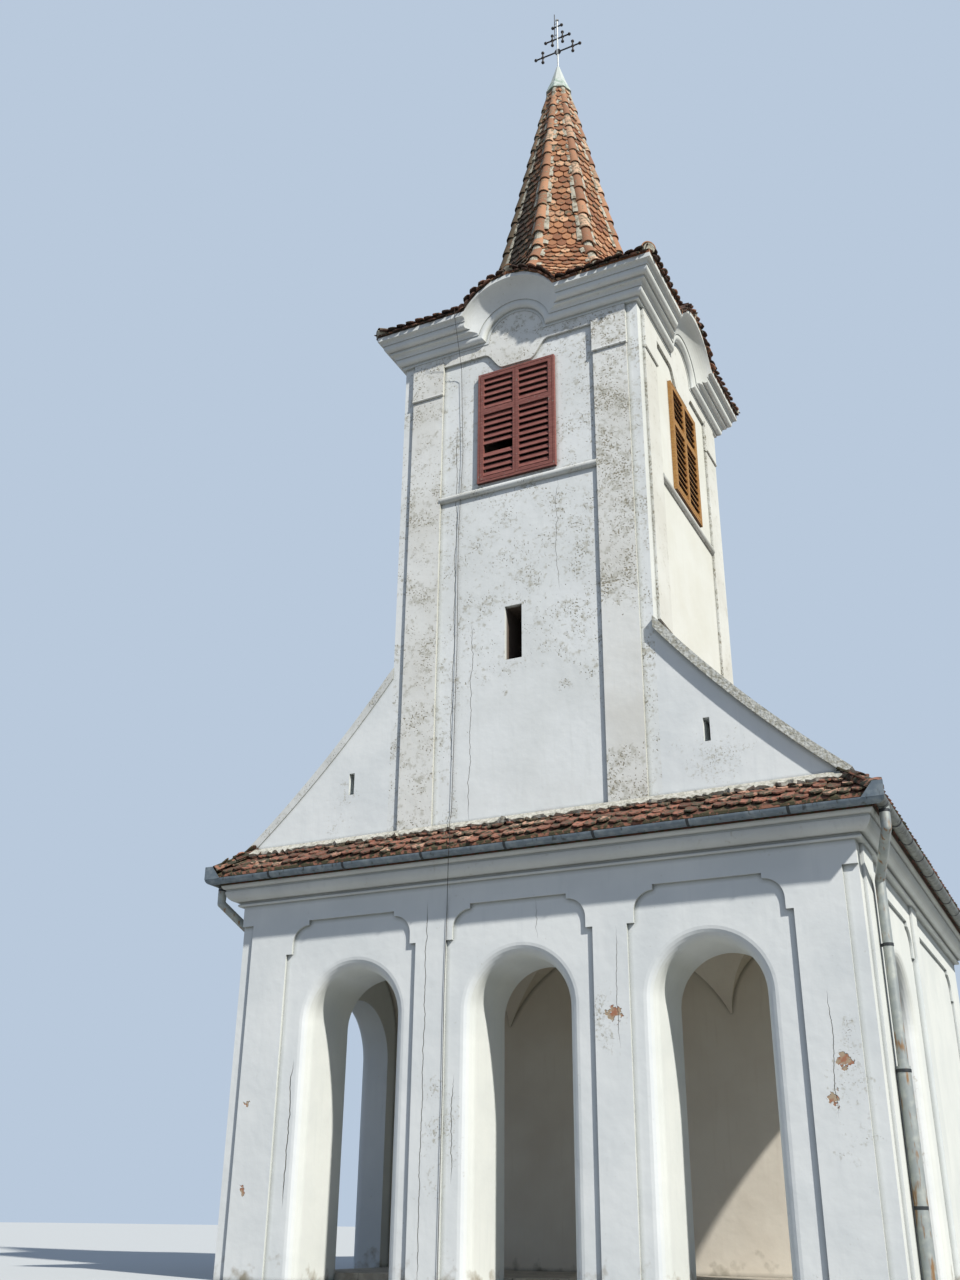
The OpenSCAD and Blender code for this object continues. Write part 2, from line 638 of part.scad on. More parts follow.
// Grooves where the two leaves meet their frame and each other
module leaf_joints() {
    g = 8; // width of a groove
    f = 0.4 * shutter_frame;
    translate([0, -cut, 0]) {
        for (s = [-1, 1]) translate([s * (shutter_half - f) - g / 2, 0, f])
            cube([g, cut + 2 * g, shutter_h - 2 * f]);
        for (z = [f, shutter_h - f]) translate([-shutter_half + f, 0, z - g / 2])
            cube([2 * (shutter_half - f), cut + 2 * g, g]);
        translate([-2 * g, 0, f]) cube([g, cut + 2 * g, shutter_h - 2 * f]);
    }
}

// A pair of leaves in one frame, with two tiers of slats. The left leaf's lower tier may have lost a slat
module shutter(lost = -1) translate([0, front_y - shutter_t, belfry_z - shutter_lap]) {
    f = shutter_frame;
    tiers = [[f, mid_rail_z - f / 2], [mid_rail_z + f / 2, shutter_h - f]];
    difference() {
        translate([-shutter_half, 0, 0]) cube([2 * shutter_half, shutter_t, shutter_h]);
        for (s = [-1, 1], t = tiers) translate([s > 0 ? f / 2 : -shutter_half + f, -cut, t[0]])
            cube([shutter_half - 1.5 * f, shutter_t + 2 * cut, t[1] - t[0]]);
        leaf_joints();
    }
    for (s = [-1, 1], i = [0, 1]) slats(s > 0 ? f / 2 : -shutter_half + f, s > 0 ? shutter_half - f : -f / 2,
        tiers[i][0], tiers[i][1], s < 0 && i == 0 ? lost : -1);
}
module front_shutter() color("brown") shutter(4);
module right_shutter() color("goldenrod") on_face(1) shutter();
module back_shutter() color("brown") on_face(2) shutter();
module left_shutter() color("goldenrod") on_face(3) shutter();

// Spire

foot_rings = 8; // rings of points up the outside of the foot
inner_rings = 4; // and up its inside
foot_cols = 8; // points along half a side
hip_cols = 8; // flats round a hip tile
pull_r = shaft_r + 0.32 * (cornice_eave_half - shaft_r); // where the foot's curve is pulled to
pull_z = cornice_top_z + 0.39 * foot_h;

// Height of the cornice's top at x along one side
function cornice_edge_z(x) = abs(x) < bump_half_w ? bump_z + sqrt(bump_r * bump_r - x * x) : cornice_top_z;
// Where along a side of half width half the i-th point lies. The inner half of the points lie over the
// cornice's round top, closer together towards its ends
function along(i, half) = let (v = 2 * abs(i) / foot_cols)
    sign(i) * (v < 1 ? bump_half_w * sin(90 * v) : bump_half_w + (half - bump_half_w) * (v - 1));
// A point turned about the tower's axis, from the front face to face k
function turned(p, k) = let (c = cos(90 * k), s = sin(90 * k)) [p[0] * c - p[1] * s, p[0] * s + p[1] * c, p[2]];
// A ring of points round the four sides, each made by one side's function of i
function ring_of(points) = [for (k = [0:3], p = points) turned(p, k)];

// A side of the spire's foot at t, from the shaft (0) to the eaves (1). Each face bends from one of the
// octagon's edges, over a pull point, to half a side of the eaves
function foot_side(t, half, top_r, top_z, pull, lift) = [for (i = [-foot_cols:foot_cols - 1])
    let (a = abs(i) / foot_cols, c = sqrt(0.5) * (i < 0 ? -a : a), x = along(i, half))
    bend([top_r * c, -top_r * (1 - a + abs(c)), top_z],
        [(pull[0] + 50) * c, -pull[0] * (1 - a) - (pull[0] + 50) * abs(c), pull[1] - 250 * a],
        [x, -half, cornice_edge_z(x) + lift], t)];

// A closed solid through rings that have as many points each: from end to end, or joined up like a tyre
module stack(rings, tyre = false) {
    n = len(rings[0]);
    m = len(rings);
    last = tyre ? m - 1 : m - 2;
    polyhedron(points = [for (r = rings, p = r) p], faces = concat(
        tyre ? [] : [[for (i = [0:n - 1]) i], [for (i = [n - 1:-1:0]) (m - 1) * n + i]],
        [for (j = [0:last], i = [0:n - 1], half = [0, 1]) let (a = j * n, b = (j + 1) % m * n, g = (i + 1) % n)
            half == 0 ? [a + i, b + i, b + g] : [a + i, b + g, a + g]]));
}

module spire_foot() color("chocolate") {
    inner = half_w - tower_wall_t;
    stack(concat(
        [ring_of(foot_side(1, cornice_eave_half, shaft_r, shaft_z, [pull_r, pull_z], 0))],
        [for (i = [foot_rings:-1:0])
            ring_of(foot_side(i / foot_rings, cornice_eave_half, shaft_r, shaft_z, [pull_r, pull_z], tile_t))],
        [for (i = [0:inner_rings]) ring_of(foot_side(i / inner_rings, inner, shaft_r - shell_t, shaft_z,
            [pull_r - 2.5 * shell_t, pull_z - 2.5 * shell_t], 0))]), tyre = true);
}

module spire_shaft() color("coral") translate([0, 0, shaft_z]) difference() {
    cylinder(h = shaft_top_z - shaft_z, r1 = shaft_r, r2 = shaft_top_r, $fn = 8);
    translate([0, 0, -1]) cylinder(h = shaft_top_z - shaft_z - 500, r1 = shaft_r - shell_t,
        r2 = shaft_top_r - 10, $fn = 8);
}

module spire_cap() color("lightgreen") translate([0, 0, shaft_top_z]) {
    foot_r = shaft_top_r + hip_r;
    crease_z = 0.4 * cap_h;
    cylinder(h = crease_z, r1 = foot_r, r2 = 0.6 * foot_r, $fn = 8);
    translate([0, 0, crease_z]) cylinder(h = cap_h - crease_z, r1 = 0.6 * foot_r, r2 = iron_t, $fn = 8);
}

// The line of one hip, as [radius, height]: over a corner, or over the middle of a side
function hip_line(over_corner) = concat(
    [for (i = [foot_rings:-1:1])
        let (p = foot_side(i / foot_rings, cornice_eave_half, shaft_r, shaft_z, [pull_r, pull_z], tile_t)
            [over_corner ? 0 : foot_cols]) [norm([p[0], p[1]]), p[2]]],
    [[shaft_r, shaft_z], [shaft_top_r, shaft_top_z]]);

// The section of a hip tile at the i-th point of its line, in the plane over +X: a round that sits astride
// two of the spire's faces. It gets narrower towards the top, where the hips come close together
function hip_section(line, i) = let (a = line[max(i - 1, 0)], b = line[min(i + 1, len(line) - 1)],
        d = (b - a) / norm(b - a), r = i == len(line) - 1 ? 0.36 * shaft_top_r : hip_r)
    concat([[line[i][0], 0, line[i][1]]],
        [for (k = [0:hip_cols]) let (f = -22.5 + 225 * k / hip_cols, u = r * sin(f), w = -r * cos(f))
            [line[i][0] + u * d[1], w, line[i][1] - u * d[0]]]);

module spire_hips() color("peru") for (k = [0:7]) rotate([0, 0, 45 * k]) {
    line = hip_line(k % 2 == 1);
    stack([for (i = [0:len(line) - 1]) hip_section(line, i)]);
}

// Wrought-iron cross with two bars. Each arm ends in a ball, with a pair of balls on a short crosspiece
// before it. A thin lightning rod stands beside its stem
module cross() {
    r = iron_t / 2;
    arm = bar_w / 2;
    module rod(a, b, r = r) {
        d = b - a;
        translate(a) rotate([0, acos(d[2] / norm(d)), atan2(d[1], d[0])])
            cylinder(h = norm(d), r = r, $fn = 12);
    }
    module ball(p) translate(p) sphere(r = ball_r, $fn = 24);
    // A rod between two balls
    module dumbbell(a, b) {
        rod(a, b);
        ball(a);
        ball(b);
    }
    // A bar at height z, with its crosspieces at share of its half length
    module bar(half, z, share) {
        dumbbell([-half, 0, z], [half, 0, z]);
        for (s = [-1, 1]) {
            dumbbell([s * share * half, 0, z - 0.28 * arm], [s * share * half, 0, z + 0.28 * arm]);
            ball([s * share * half, 0, z]);
        }
    }
    color("black") translate([0, 0, shaft_top_z + cap_h]) {
        rod([0, 0, -60], [0, 0, cross_h]);
        ball([0, 0, cross_h]);
        bar(arm, 0.33 * cross_h, 0.68);
        bar(0.54 * arm, 0.61 * cross_h, 0.43);
        dumbbell([-0.2 * arm, 0, 0.87 * cross_h], [0.2 * arm, 0, 0.87 * cross_h]);
        translate([0, 0, 0.33 * cross_h]) rotate([90, 0, 0])
            cylinder(h = 1.4 * iron_t, r = 2 * iron_t, center = true);
        rod([-1.8 * iron_t, 0, 0.64 * cross_h], [-1.8 * iron_t, 0, 1.15 * cross_h], 9);
        for (z = [0.7, 0.94]) rod([-1.8 * iron_t, 0, z * cross_h], [0, 0, z * cross_h], 7);
    }
}

porch_floor();
porch_front_wall();
porch_back_wall();
left_porch_wall();
right_porch_wall();
left_nave_wall();
right_nave_wall();
party_wall();
porch_vault();
front_pilasters();
left_pilasters();
right_pilasters();
porch_cornice_front();
porch_cornice_left();
porch_cornice_right();
eave_skirt();
nave_roof_left();
nave_roof_right();
nave_ridge();
left_wing();
right_wing();
left_coping();
right_coping();
gutter_front();
gutter_sides();
downpipes();
tower_front_wall();
tower_right_wall();
tower_back_wall();
tower_left_wall();
tower_pilasters();
belfry_sills();
tower_cornice_front();
tower_cornice_right();
tower_cornice_back();
tower_cornice_left();
front_shutter();
right_shutter();
back_shutter();
left_shutter();
spire_foot();
spire_shaft();
spire_hips();
spire_cap();
cross();
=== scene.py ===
"""The whitewashed bell tower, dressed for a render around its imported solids. All lengths are in metres."""
import math
import random

import bpy
from mathutils import Matrix, Vector


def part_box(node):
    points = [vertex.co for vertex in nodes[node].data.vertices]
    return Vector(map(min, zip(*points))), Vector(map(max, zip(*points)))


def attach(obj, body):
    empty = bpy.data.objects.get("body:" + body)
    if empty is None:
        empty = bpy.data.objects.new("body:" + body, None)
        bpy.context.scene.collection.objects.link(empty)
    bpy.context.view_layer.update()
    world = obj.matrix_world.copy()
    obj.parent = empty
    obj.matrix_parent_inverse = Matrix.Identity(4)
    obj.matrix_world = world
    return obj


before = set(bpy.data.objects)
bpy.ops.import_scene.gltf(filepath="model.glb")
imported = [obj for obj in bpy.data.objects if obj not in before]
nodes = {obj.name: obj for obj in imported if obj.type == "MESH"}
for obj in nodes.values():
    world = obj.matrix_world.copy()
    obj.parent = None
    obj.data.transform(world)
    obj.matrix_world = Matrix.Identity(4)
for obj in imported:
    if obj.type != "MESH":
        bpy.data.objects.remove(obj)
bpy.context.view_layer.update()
random.seed(7)

# The building's main sizes, as its solids have them
FRONT_Y = -2.20  # the plane of the porch's, the wings' and the tower's fronts
TOWER_HALF = 2.20
PORCH_HALF = 4.70
WING_BACK_Y = FRONT_Y + 0.40
EAVE_OUT = 0.42  # how far the porch's and nave's roofs stand out from the walls
EAVE_Z = 5.67
PITCH = 0.9  # their rise over their run

# Camera, floor and light

# A plain camera fitted to the building's edges in the photograph
PHOTO_HEIGHT = 1280  # in pixels
FOCAL_LENGTH = 1247.5  # in the same pixels
CAMERA_AT = (7.295, -18.074, 0.753)
CAMERA_TURN, CAMERA_RISE, CAMERA_ROLL = 26.588, 25.070, 0.655  # in degrees
camera_data = bpy.data.cameras.new("camera")
camera_data.sensor_fit = "VERTICAL"
camera_data.sensor_height = 36
camera_data.lens = camera_data.sensor_height * FOCAL_LENGTH / PHOTO_HEIGHT
camera_data.clip_end = 1000
camera = bpy.data.objects.new("camera", camera_data)
bpy.context.scene.collection.objects.link(camera)
camera.matrix_world = (Matrix.Translation(CAMERA_AT)
                       @ Matrix.Rotation(math.radians(CAMERA_TURN), 4, "Z")
                       @ Matrix.Rotation(math.radians(90 + CAMERA_RISE), 4, "X")
                       @ Matrix.Rotation(math.radians(CAMERA_ROLL), 4, "Z"))
bpy.context.scene.camera = camera


def linear(code):
    """A linear colour from an sRGB hex value."""
    srgb = [int(code[i:i + 2], 16) / 255 for i in (1, 3, 5)]
    return [c / 12.92 if c <= 0.04045 else ((c + 0.055) / 1.055) ** 2.4 for c in srgb] + [1]


def add(owner, kind, inputs=None, **settings):
    """Adds a node to a material or a world, with its settings. Its inputs are values, hex colours or other
    nodes' outputs."""
    node = owner.node_tree.nodes.new("ShaderNode" + kind)
    for name, value in settings.items():
        setattr(node, name, value)
    for name, value in (inputs or {}).items():
        if isinstance(value, bpy.types.NodeSocket):
            owner.node_tree.links.new(value, node.inputs[name])
        else:
            node.inputs[name].default_value = linear(value) if isinstance(value, str) else value
    return node


def seen_by_eye(owner):
    """1 for rays from the camera, in mirrors or through glass, and 0 for the light that surfaces get."""
    rays = add(owner, "LightPath").outputs
    seen = add(owner, "Math", {0: rays["Is Camera Ray"], 1: rays["Is Glossy Ray"]},
               operation="ADD").outputs[0]
    return add(owner, "Math", {0: seen, 1: rays["Is Transmission Ray"]}, operation="ADD",
               use_clamp=True).outputs[0]


# The world fills the shade with blue sky light, and shows a pale grey-blue behind the building
world = bpy.data.worlds.new("pale_sky")
world.use_nodes = True
world.node_tree.nodes.clear()
light = add(world, "Background", {"Color": "#bed3f3", "Strength": 0.42}).outputs[0]
backdrop = add(world, "Background", {"Color": "#b9c9dc", "Strength": 1.0}).outputs[0]
sky = add(world, "MixShader", {0: seen_by_eye(world), 1: light, 2: backdrop}).outputs[0]
add(world, "OutputWorld", {"Surface": sky})
bpy.context.scene.world = world
bpy.context.scene.view_settings.view_transform = "Standard"

# The sun stands high on the right and a little to the front, as the photograph's shadows show
TO_THE_SUN = Vector((0.658, -0.339, 0.672))
sun_data = bpy.data.lights.new("sun", "SUN")
sun_data.energy = 4.7
sun_data.angle = math.radians(1.5)
sun_data.color = linear("#fffaf1")[:3]
sun = bpy.data.objects.new("sun", sun_data)
sun.matrix_world = TO_THE_SUN.to_track_quat("Z", "Y").to_matrix().to_4x4()
bpy.context.scene.collection.objects.link(sun)

bpy.ops.object.select_all(action="DESELECT")
bpy.ops.mesh.primitive_plane_add(size=400)
floor = bpy.context.object
floor.name = "floor"
# The floor is seen pale, and throws no more light up under the eaves than trodden earth does
floor_paint = bpy.data.materials.new("pale_floor")
floor_paint.use_nodes = True
floor_shader = floor_paint.node_tree.nodes["Principled BSDF"]
floor_shader.inputs["Roughness"].default_value = 0.9
floor_colour = add(floor_paint, "Mix", {0: seen_by_eye(floor_paint), 6: "#77756d", 7: "#c3c7c8"},
                   data_type="RGBA").outputs[2]
floor_paint.node_tree.links.new(floor_colour, floor_shader.inputs["Base Color"])
floor.data.materials.append(floor_paint)

# Finishes


def finish(name, roughness):
    """A new material, its shader, and the place in metres that its patterns are drawn by."""
    material = bpy.data.materials.new(name)
    material.use_nodes = True
    shader = material.node_tree.nodes["Principled BSDF"]
    shader.inputs["Roughness"].default_value = roughness
    return material, shader, add(material, "TexCoord").outputs["Object"]


def patches(material, place, size, low, high, under, over, more=0.0, detail=3.0):
    """Lays a colour over another in patches of about this size in metres, and gives the colour and the
    patches' share. A narrow span from low to high makes hard edges, and more makes the patches grow."""
    cloud = add(material, "TexNoise", {"Vector": place, "Scale": 1 / size, "Detail": detail}).outputs[0]
    cloud = add(material, "Math", {0: cloud, 1: more}, operation="ADD").outputs[0]
    share = add(material, "MapRange", {0: cloud, 1: low, 2: high}).outputs[0]
    colour = add(material, "Mix", {0: share, 6: under, 7: over}, data_type="RGBA").outputs[2]
    return colour, share


def zone(material, place, axis, low, high, to=1.0):
    """A share that rises from 0 between two places along an axis."""
    along = add(material, "SeparateXYZ", {0: place}).outputs[axis]
    return add(material, "MapRange", {0: along, 1: low, 2: high, 4: to}).outputs[0]


def relief(material, shader, heights):
    """Bumps of these heights in metres, one on top of another, from the patterns' shares."""
    normal = None
    for share, height in heights:
        bump = add(material, "Bump", {"Height": share, "Distance": abs(height)}, invert=height < 0)
        if normal:
            material.node_tree.links.new(normal, bump.inputs["Normal"])
        normal = bump.outputs[0]
    material.node_tree.links.new(normal, shader.inputs["Normal"])


def paint(material, shader, colour):
    """Ends a material: the shader takes this colour."""
    material.node_tree.links.new(colour, shader.inputs["Base Color"])
    return material


def crack(material, place, axis, at, wander, width, low, high):
    """The share of a crack that runs up a wall at a place along an axis, wandering to both sides of it."""
    parts = add(material, "SeparateXYZ", {0: place}).outputs
    height = add(material, "CombineXYZ", {2: parts[2], 0: at}).outputs[0]
    line = add(material, "TexNoise", {"Vector": height, "Scale": 1.3, "Detail": 6.0,
                                      "Roughness": 0.62}).outputs[0]
    line = add(material, "MapRange", {0: line, 3: at - wander, 4: at + wander}).outputs[0]
    off = add(material, "Math", {0: parts[axis], 1: line}, operation="SUBTRACT").outputs[0]
    off = add(material, "Math", {0: off}, operation="ABSOLUTE").outputs[0]
    share = add(material, "MapRange", {0: off, 1: width, 2: width / 3}).outputs[0]
    ends = add(material, "MapRange", {0: parts[2], 1: low, 2: low + 0.3}).outputs[0]
    share = add(material, "Math", {0: share, 1: ends}, operation="MULTIPLY").outputs[0]
    ends = add(material, "MapRange", {0: parts[2], 1: high, 2: high - 0.3}).outputs[0]
    return add(material, "Math", {0: share, 1: ends}, operation="MULTIPLY").outputs[0]


def near(material, place, middle, reach):
    """A share that falls from 1 at a point to 0 at this reach from it."""
    off = add(material, "VectorMath", {0: place, 1: middle}, operation="DISTANCE").outputs["Value"]
    return add(material, "MapRange", {0: off, 1: reach, 2: 0.0}).outputs[0]


def lost_plaster(material, place, colour, spots):
    """Ragged holes where the plaster has come off the brick, each at a point and with a reach."""
    share = 0.0
    for middle, reach in spots:
        share = add(material, "Math", {0: near(material, place, middle, reach), 1: share},
                    operation="MAXIMUM").outputs[0]
    share = add(material, "Math", {0: share, 1: 0.62}, operation="MULTIPLY").outputs[0]
    # Buff mortar with the red of old brick in it, in pieces of about 60 mm
    brick, _ = patches(material, place, 0.06, 0.45, 0.6, "#b9a78f", "#b07c62")
    return patches(material, place, 0.09, 0.84, 0.87, colour, brick, more=share)


def faces(material, x=0.0, y=0.0, z=0.0, low=0.45, high=0.75):
    """A share that is 1 on the faces that look along an axis."""
    normal = add(material, "NewGeometry").outputs["Normal"]
    along = add(material, "VectorMath", {0: normal, 1: (x, y, z)}, operation="DOT_PRODUCT").outputs["Value"]
    return add(material, "MapRange", {0: along, 1: low, 2: high}).outputs[0]


def rough_parts(material, place, parts):
    """A share that is 1 in ragged parts of a front wall, each at (x, z) with a reach to the sides and up."""
    wander = add(material, "TexNoise", {"Vector": place, "Scale": 1 / 0.3, "Detail": 3.0}).outputs[0]
    share = 0.0
    for x, z, wide, high in parts:
        off = add(material, "VectorMath", {0: place, 1: (x, 0, z)}, operation="SUBTRACT").outputs[0]
        off = add(material, "VectorMath", {0: off, 1: (1 / wide, 0, 1 / high)},
                  operation="MULTIPLY").outputs[0]
        off = add(material, "VectorMath", {0: off}, operation="LENGTH").outputs["Value"]
        off = add(material, "Math", {0: wander, 1: 1.2, 2: off}, operation="MULTIPLY_ADD").outputs[0]
        inside = add(material, "MapRange", {0: off, 1: 1.7, 2: 1.4}).outputs[0]
        share = add(material, "Math", {0: inside, 1: share}, operation="MAXIMUM").outputs[0]
    return share


def indoors(material, place, half):
    """A share that is 1 on what stands more than 100 mm nearer to the tower's axis than half."""
    parts = add(material, "VectorMath", {0: place}, operation="ABSOLUTE").outputs[0]
    parts = add(material, "SeparateXYZ", {0: parts}).outputs
    off = add(material, "Math", {0: parts[0], 1: parts[1]}, operation="MAXIMUM").outputs[0]
    return add(material, "MapRange", {0: off, 1: half - 0.02, 2: half - 0.10}).outputs[0]


def washed_plaster(name, wash, shade, worn, wear=0.0, pit=0.022, cracks=(), spots=(), wear_more=None,
                   half=None):
    """Limewash brushed over trowelled lime plaster. It is dead matt and a little uneven, with broad coats
    that show through each other, and grey pits where the wash has gone, which lie in crowds. The faces on
    the right have a smoother coat with fewer pits, and painted shade darkens them and makes them creamier,
    as they face the sun. Painted shade darkens the corners, and inside the openings, nearer to the axis
    than half, the wall is bare brick darkened with painted shade."""
    material, shader, place = finish(name, 0.92)
    colour, broad = patches(material, place, 0.9, 0.38, 0.66, wash, shade)
    # Rain runs down in faint streaks, about 80 mm wide and a metre long, as the place is drawn out upwards
    runs = add(material, "Mapping", {"Vector": place, "Scale": (1.0, 1.0, 0.09)}).outputs[0]
    colour, _ = patches(material, runs, 0.08, 0.55, 0.9, colour, shade)
    side = faces(material, x=1)
    crowd = add(material, "TexNoise", {"Vector": place, "Scale": 1 / 0.45, "Detail": 3.0}).outputs[0]
    amount = add(material, "MapRange", {0: crowd, 1: 0.4, 2: 0.65, 3: wear - 0.08, 4: wear + 0.05}).outputs[0]
    if wear_more:
        amount = add(material, "Math", {0: amount, 1: wear_more(material, place)}, operation="ADD").outputs[0]
    amount = add(material, "Math", {0: side, 1: -0.14, 2: amount}, operation="MULTIPLY_ADD").outputs[0]
    # Round the pits the plaster is a little darker
    around = add(material, "Math", {0: amount, 1: 0.04}, operation="ADD").outputs[0]
    colour, _ = patches(material, place, 2.5 * pit, 0.60, 0.80, colour, "#c3c3ba", more=around, detail=4.0)
    colour, pits = patches(material, place, pit, 0.65, 0.71, colour, worn, more=amount)
    # Splashed earth and damp along the ground
    damp = zone(material, place, 2, 0.7, 0.0, 0.36)
    colour, _ = patches(material, place, 0.25, 0.80, 1.0, colour, "#a8a294", more=damp, detail=5.0)
    # Painted shade darkens the corners and creases of the mouldings, and under things close above, within 70
    # mm, by ambient occlusion
    corner = add(material, "AmbientOcclusion", {"Distance": 0.07}, samples=3).outputs["AO"]
    painted_crease_shade = add(material, "MapRange", {0: corner, 1: 0.88, 2: 0.45}).outputs[0]
    colour = add(material, "Mix", {0: painted_crease_shade, 6: colour, 7: "#a7a8a5"}, data_type="RGBA",
                 blend_type="MULTIPLY").outputs[2]
    # Painted shade: faces looking to the right, towards the sun, are darkened and made creamier
    colour = add(material, "Mix", {0: side, 6: colour, 7: "#ecebe5"}, data_type="RGBA",
                 blend_type="MULTIPLY").outputs[2]
    # Painted shade: inside the openings, nearer to the axis than half, the bare brick is darkened to dark
    # brown
    if half:
        colour = add(material, "Mix", {0: indoors(material, place, half), 6: colour, 7: "#5d5148"},
                     data_type="RGBA").outputs[2]
    heights = [(broad, 0.004), (pits, -0.004)]
    if spots:
        colour, holes = lost_plaster(material, place, colour, spots)
        heights.append((holes, -0.012))
    for axis, at, wander, width, low, high in cracks:
        line = crack(material, place, axis, at, wander, width, low, high)
        colour = add(material, "Mix", {0: line, 6: colour, 7: "#6f6f6b"}, data_type="RGBA").outputs[2]
        heights.append((line, -0.006))
    # The trowel left waves of a hand's width
    waves = add(material, "TexNoise", {"Vector": place, "Scale": 1 / 0.12, "Detail": 2.0}).outputs[0]
    heights.append((waves, 0.003))
    relief(material, shader, heights)
    return paint(material, shader, colour)


def clay(name, light, dark, fired, moss, moss_more, painted_shade_by_moss=0.0):
    """Old clay roof tiles. Each came out of the kiln a little different, and the damp ones have gone dark
    and green with moss and lichen in spots of 20 to 60 mm. Painted shade darkens the tiles where moss_more
    rises, by painted_shade_by_moss: on the spire, its side away from the sun."""
    material, shader, place = finish(name, 0.88)
    chance = add(material, "NewGeometry").outputs["Random Per Island"]
    colour = add(material, "Mix", {0: chance, 6: light, 7: dark}, data_type="RGBA").outputs[2]
    other = add(material, "Math", {0: chance, 1: 7.31}, operation="MULTIPLY").outputs[0]
    other = add(material, "Math", {0: other}, operation="FRACT").outputs[0]
    hard = add(material, "MapRange", {0: other, 1: 0.72, 2: 0.86}).outputs[0]
    colour = add(material, "Mix", {0: hard, 6: colour, 7: fired}, data_type="RGBA").outputs[2]
    growth = add(material, "Math", {0: other, 1: 0.12, 2: moss_more(material, place)},
                 operation="MULTIPLY_ADD").outputs[0]
    colour, spots = patches(material, place, 0.07, 0.60, 0.70, colour, moss, more=growth, detail=5.0)
    colour, _ = patches(material, place, 0.025, 0.68, 0.74, colour, "#9d9a86", detail=2.0)
    # Painted shade: the tiles darken where moss_more rises, on the spire its side away from the sun
    painted_shade = add(material, "Math", {0: moss_more(material, place), 1: painted_shade_by_moss}, operation="MULTIPLY",
               use_clamp=True).outputs[0]
    colour = add(material, "Mix", {0: painted_shade, 6: colour, 7: "#8a7a70"}, data_type="RGBA",
                 blend_type="MULTIPLY").outputs[2]
    grit = add(material, "TexNoise", {"Vector": place, "Scale": 1 / 0.012, "Detail": 3.0}).outputs[0]
    relief(material, shader, [(grit, 0.003), (spots, 0.004)])
    return paint(material, shader, colour)


def mortar(name, pale, dark, dark_share, top=None):
    """Coarse lime mortar, left rough from the trowel and gone grey and black with algae where rain stands.
    Old tiles may lie on top of it."""
    material, shader, place = finish(name, 0.95)
    colour, _ = patches(material, place, 0.05, 0.4, 0.62, pale, "#a9a89c", detail=4.0)
    colour, black = patches(material, place, 0.12, 0.56, 0.68, colour, dark, more=dark_share, detail=5.0)
    if top:
        colour = add(material, "Mix", {0: faces(material, z=1, low=0.2, high=0.4), 6: colour, 7: top},
                     data_type="RGBA").outputs[2]
    lumps = add(material, "TexNoise", {"Vector": place, "Scale": 1 / 0.03, "Detail": 4.0}).outputs[0]
    relief(material, shader, [(lumps, 0.012), (black, -0.003)])
    return paint(material, shader, colour)


STRAP_HALF = 0.019  # half the width of a strap round a gutter or a pipe


def weathered_zinc(name, sheet, oxide, stain, stain_share, straps=None):
    """Zinc sheet, folded and soldered, with its dull grey-blue skin. White oxide blooms on it, and stains
    run down from the joints. The straps round it are of dark iron: straps has the axis that they stand
    along, the place of one of them, and how far apart they are."""
    material, shader, place = finish(name, 0.55)
    shader.inputs["Metallic"].default_value = 0.35
    colour, bloom = patches(material, place, 0.12, 0.45, 0.7, sheet, oxide, detail=4.0)
    runs = add(material, "Mapping", {"Vector": place, "Scale": (1.0, 1.0, 0.2)}).outputs[0]
    colour, _ = patches(material, runs, 0.06, 0.58, 0.68, colour, stain, more=stain_share, detail=5.0)
    if straps:
        axis, first, pitch = straps
        along = add(material, "SeparateXYZ", {0: place}).outputs[axis]
        along = add(material, "Math", {0: along, 1: first - pitch / 2}, operation="SUBTRACT").outputs[0]
        along = add(material, "Math", {0: along, 1: pitch}, operation="FLOORED_MODULO").outputs[0]
        along = add(material, "Math", {0: along, 1: pitch / 2}, operation="SUBTRACT").outputs[0]
        along = add(material, "Math", {0: along}, operation="ABSOLUTE").outputs[0]
        strap = add(material, "MapRange", {0: along, 1: STRAP_HALF + 0.003, 2: STRAP_HALF}).outputs[0]
        colour = add(material, "Mix", {0: strap, 6: colour, 7: "#34383b"}, data_type="RGBA").outputs[2]
    dents = add(material, "TexNoise", {"Vector": place, "Scale": 1 / 0.2, "Detail": 1.0}).outputs[0]
    relief(material, shader, [(dents, 0.006), (bloom, 0.0005)])
    return paint(material, shader, colour)


def painted_wood(name, coat, faded, bare):
    """Softwood boards under old oil paint. The paint has faded in streaks along the boards and flaked down
    to grey wood at the edges."""
    material, shader, place = finish(name, 0.7)
    boards = add(material, "Mapping", {"Vector": place, "Scale": (0.15, 0.15, 1.0)}).outputs[0]
    colour, streaks = patches(material, boards, 0.018, 0.42, 0.7, coat, faded, detail=4.0)
    colour, flakes = patches(material, place, 0.035, 0.66, 0.70, colour, bare, detail=5.0)
    # Painted shade darkens the undersides of the boards, which face away from the light
    painted_shade = faces(material, z=-1, low=0.15, high=0.5)
    colour = add(material, "Mix", {0: painted_shade, 6: colour, 7: "#8b7b76"}, data_type="RGBA",
                 blend_type="MULTIPLY").outputs[2]
    relief(material, shader, [(streaks, 0.0015), (flakes, -0.002)])
    return paint(material, shader, colour)


def front_wear(material, place):
    """The wash has gone most on the right, and the lower part of the wall is mended smooth."""
    right = zone(material, place, 0, 0.4, 1.2, 0.02)
    mended = rough_parts(material, place, [(0.25, 6.5, 1.3, 1.9)])
    return add(material, "Math", {0: mended, 1: -0.3, 2: right}, operation="MULTIPLY_ADD").outputs[0]


def strip_wear(material, place):
    """The right-hand strip has lost most of its wash, but it is mended smooth beside the wing."""
    right = zone(material, place, 0, 0.6, 1.6, 0.05)
    mended = rough_parts(material, place, [(1.85, 8.0, 0.9, 1.1)])
    return add(material, "Math", {0: mended, 1: -0.3, 2: right}, operation="MULTIPLY_ADD").outputs[0]


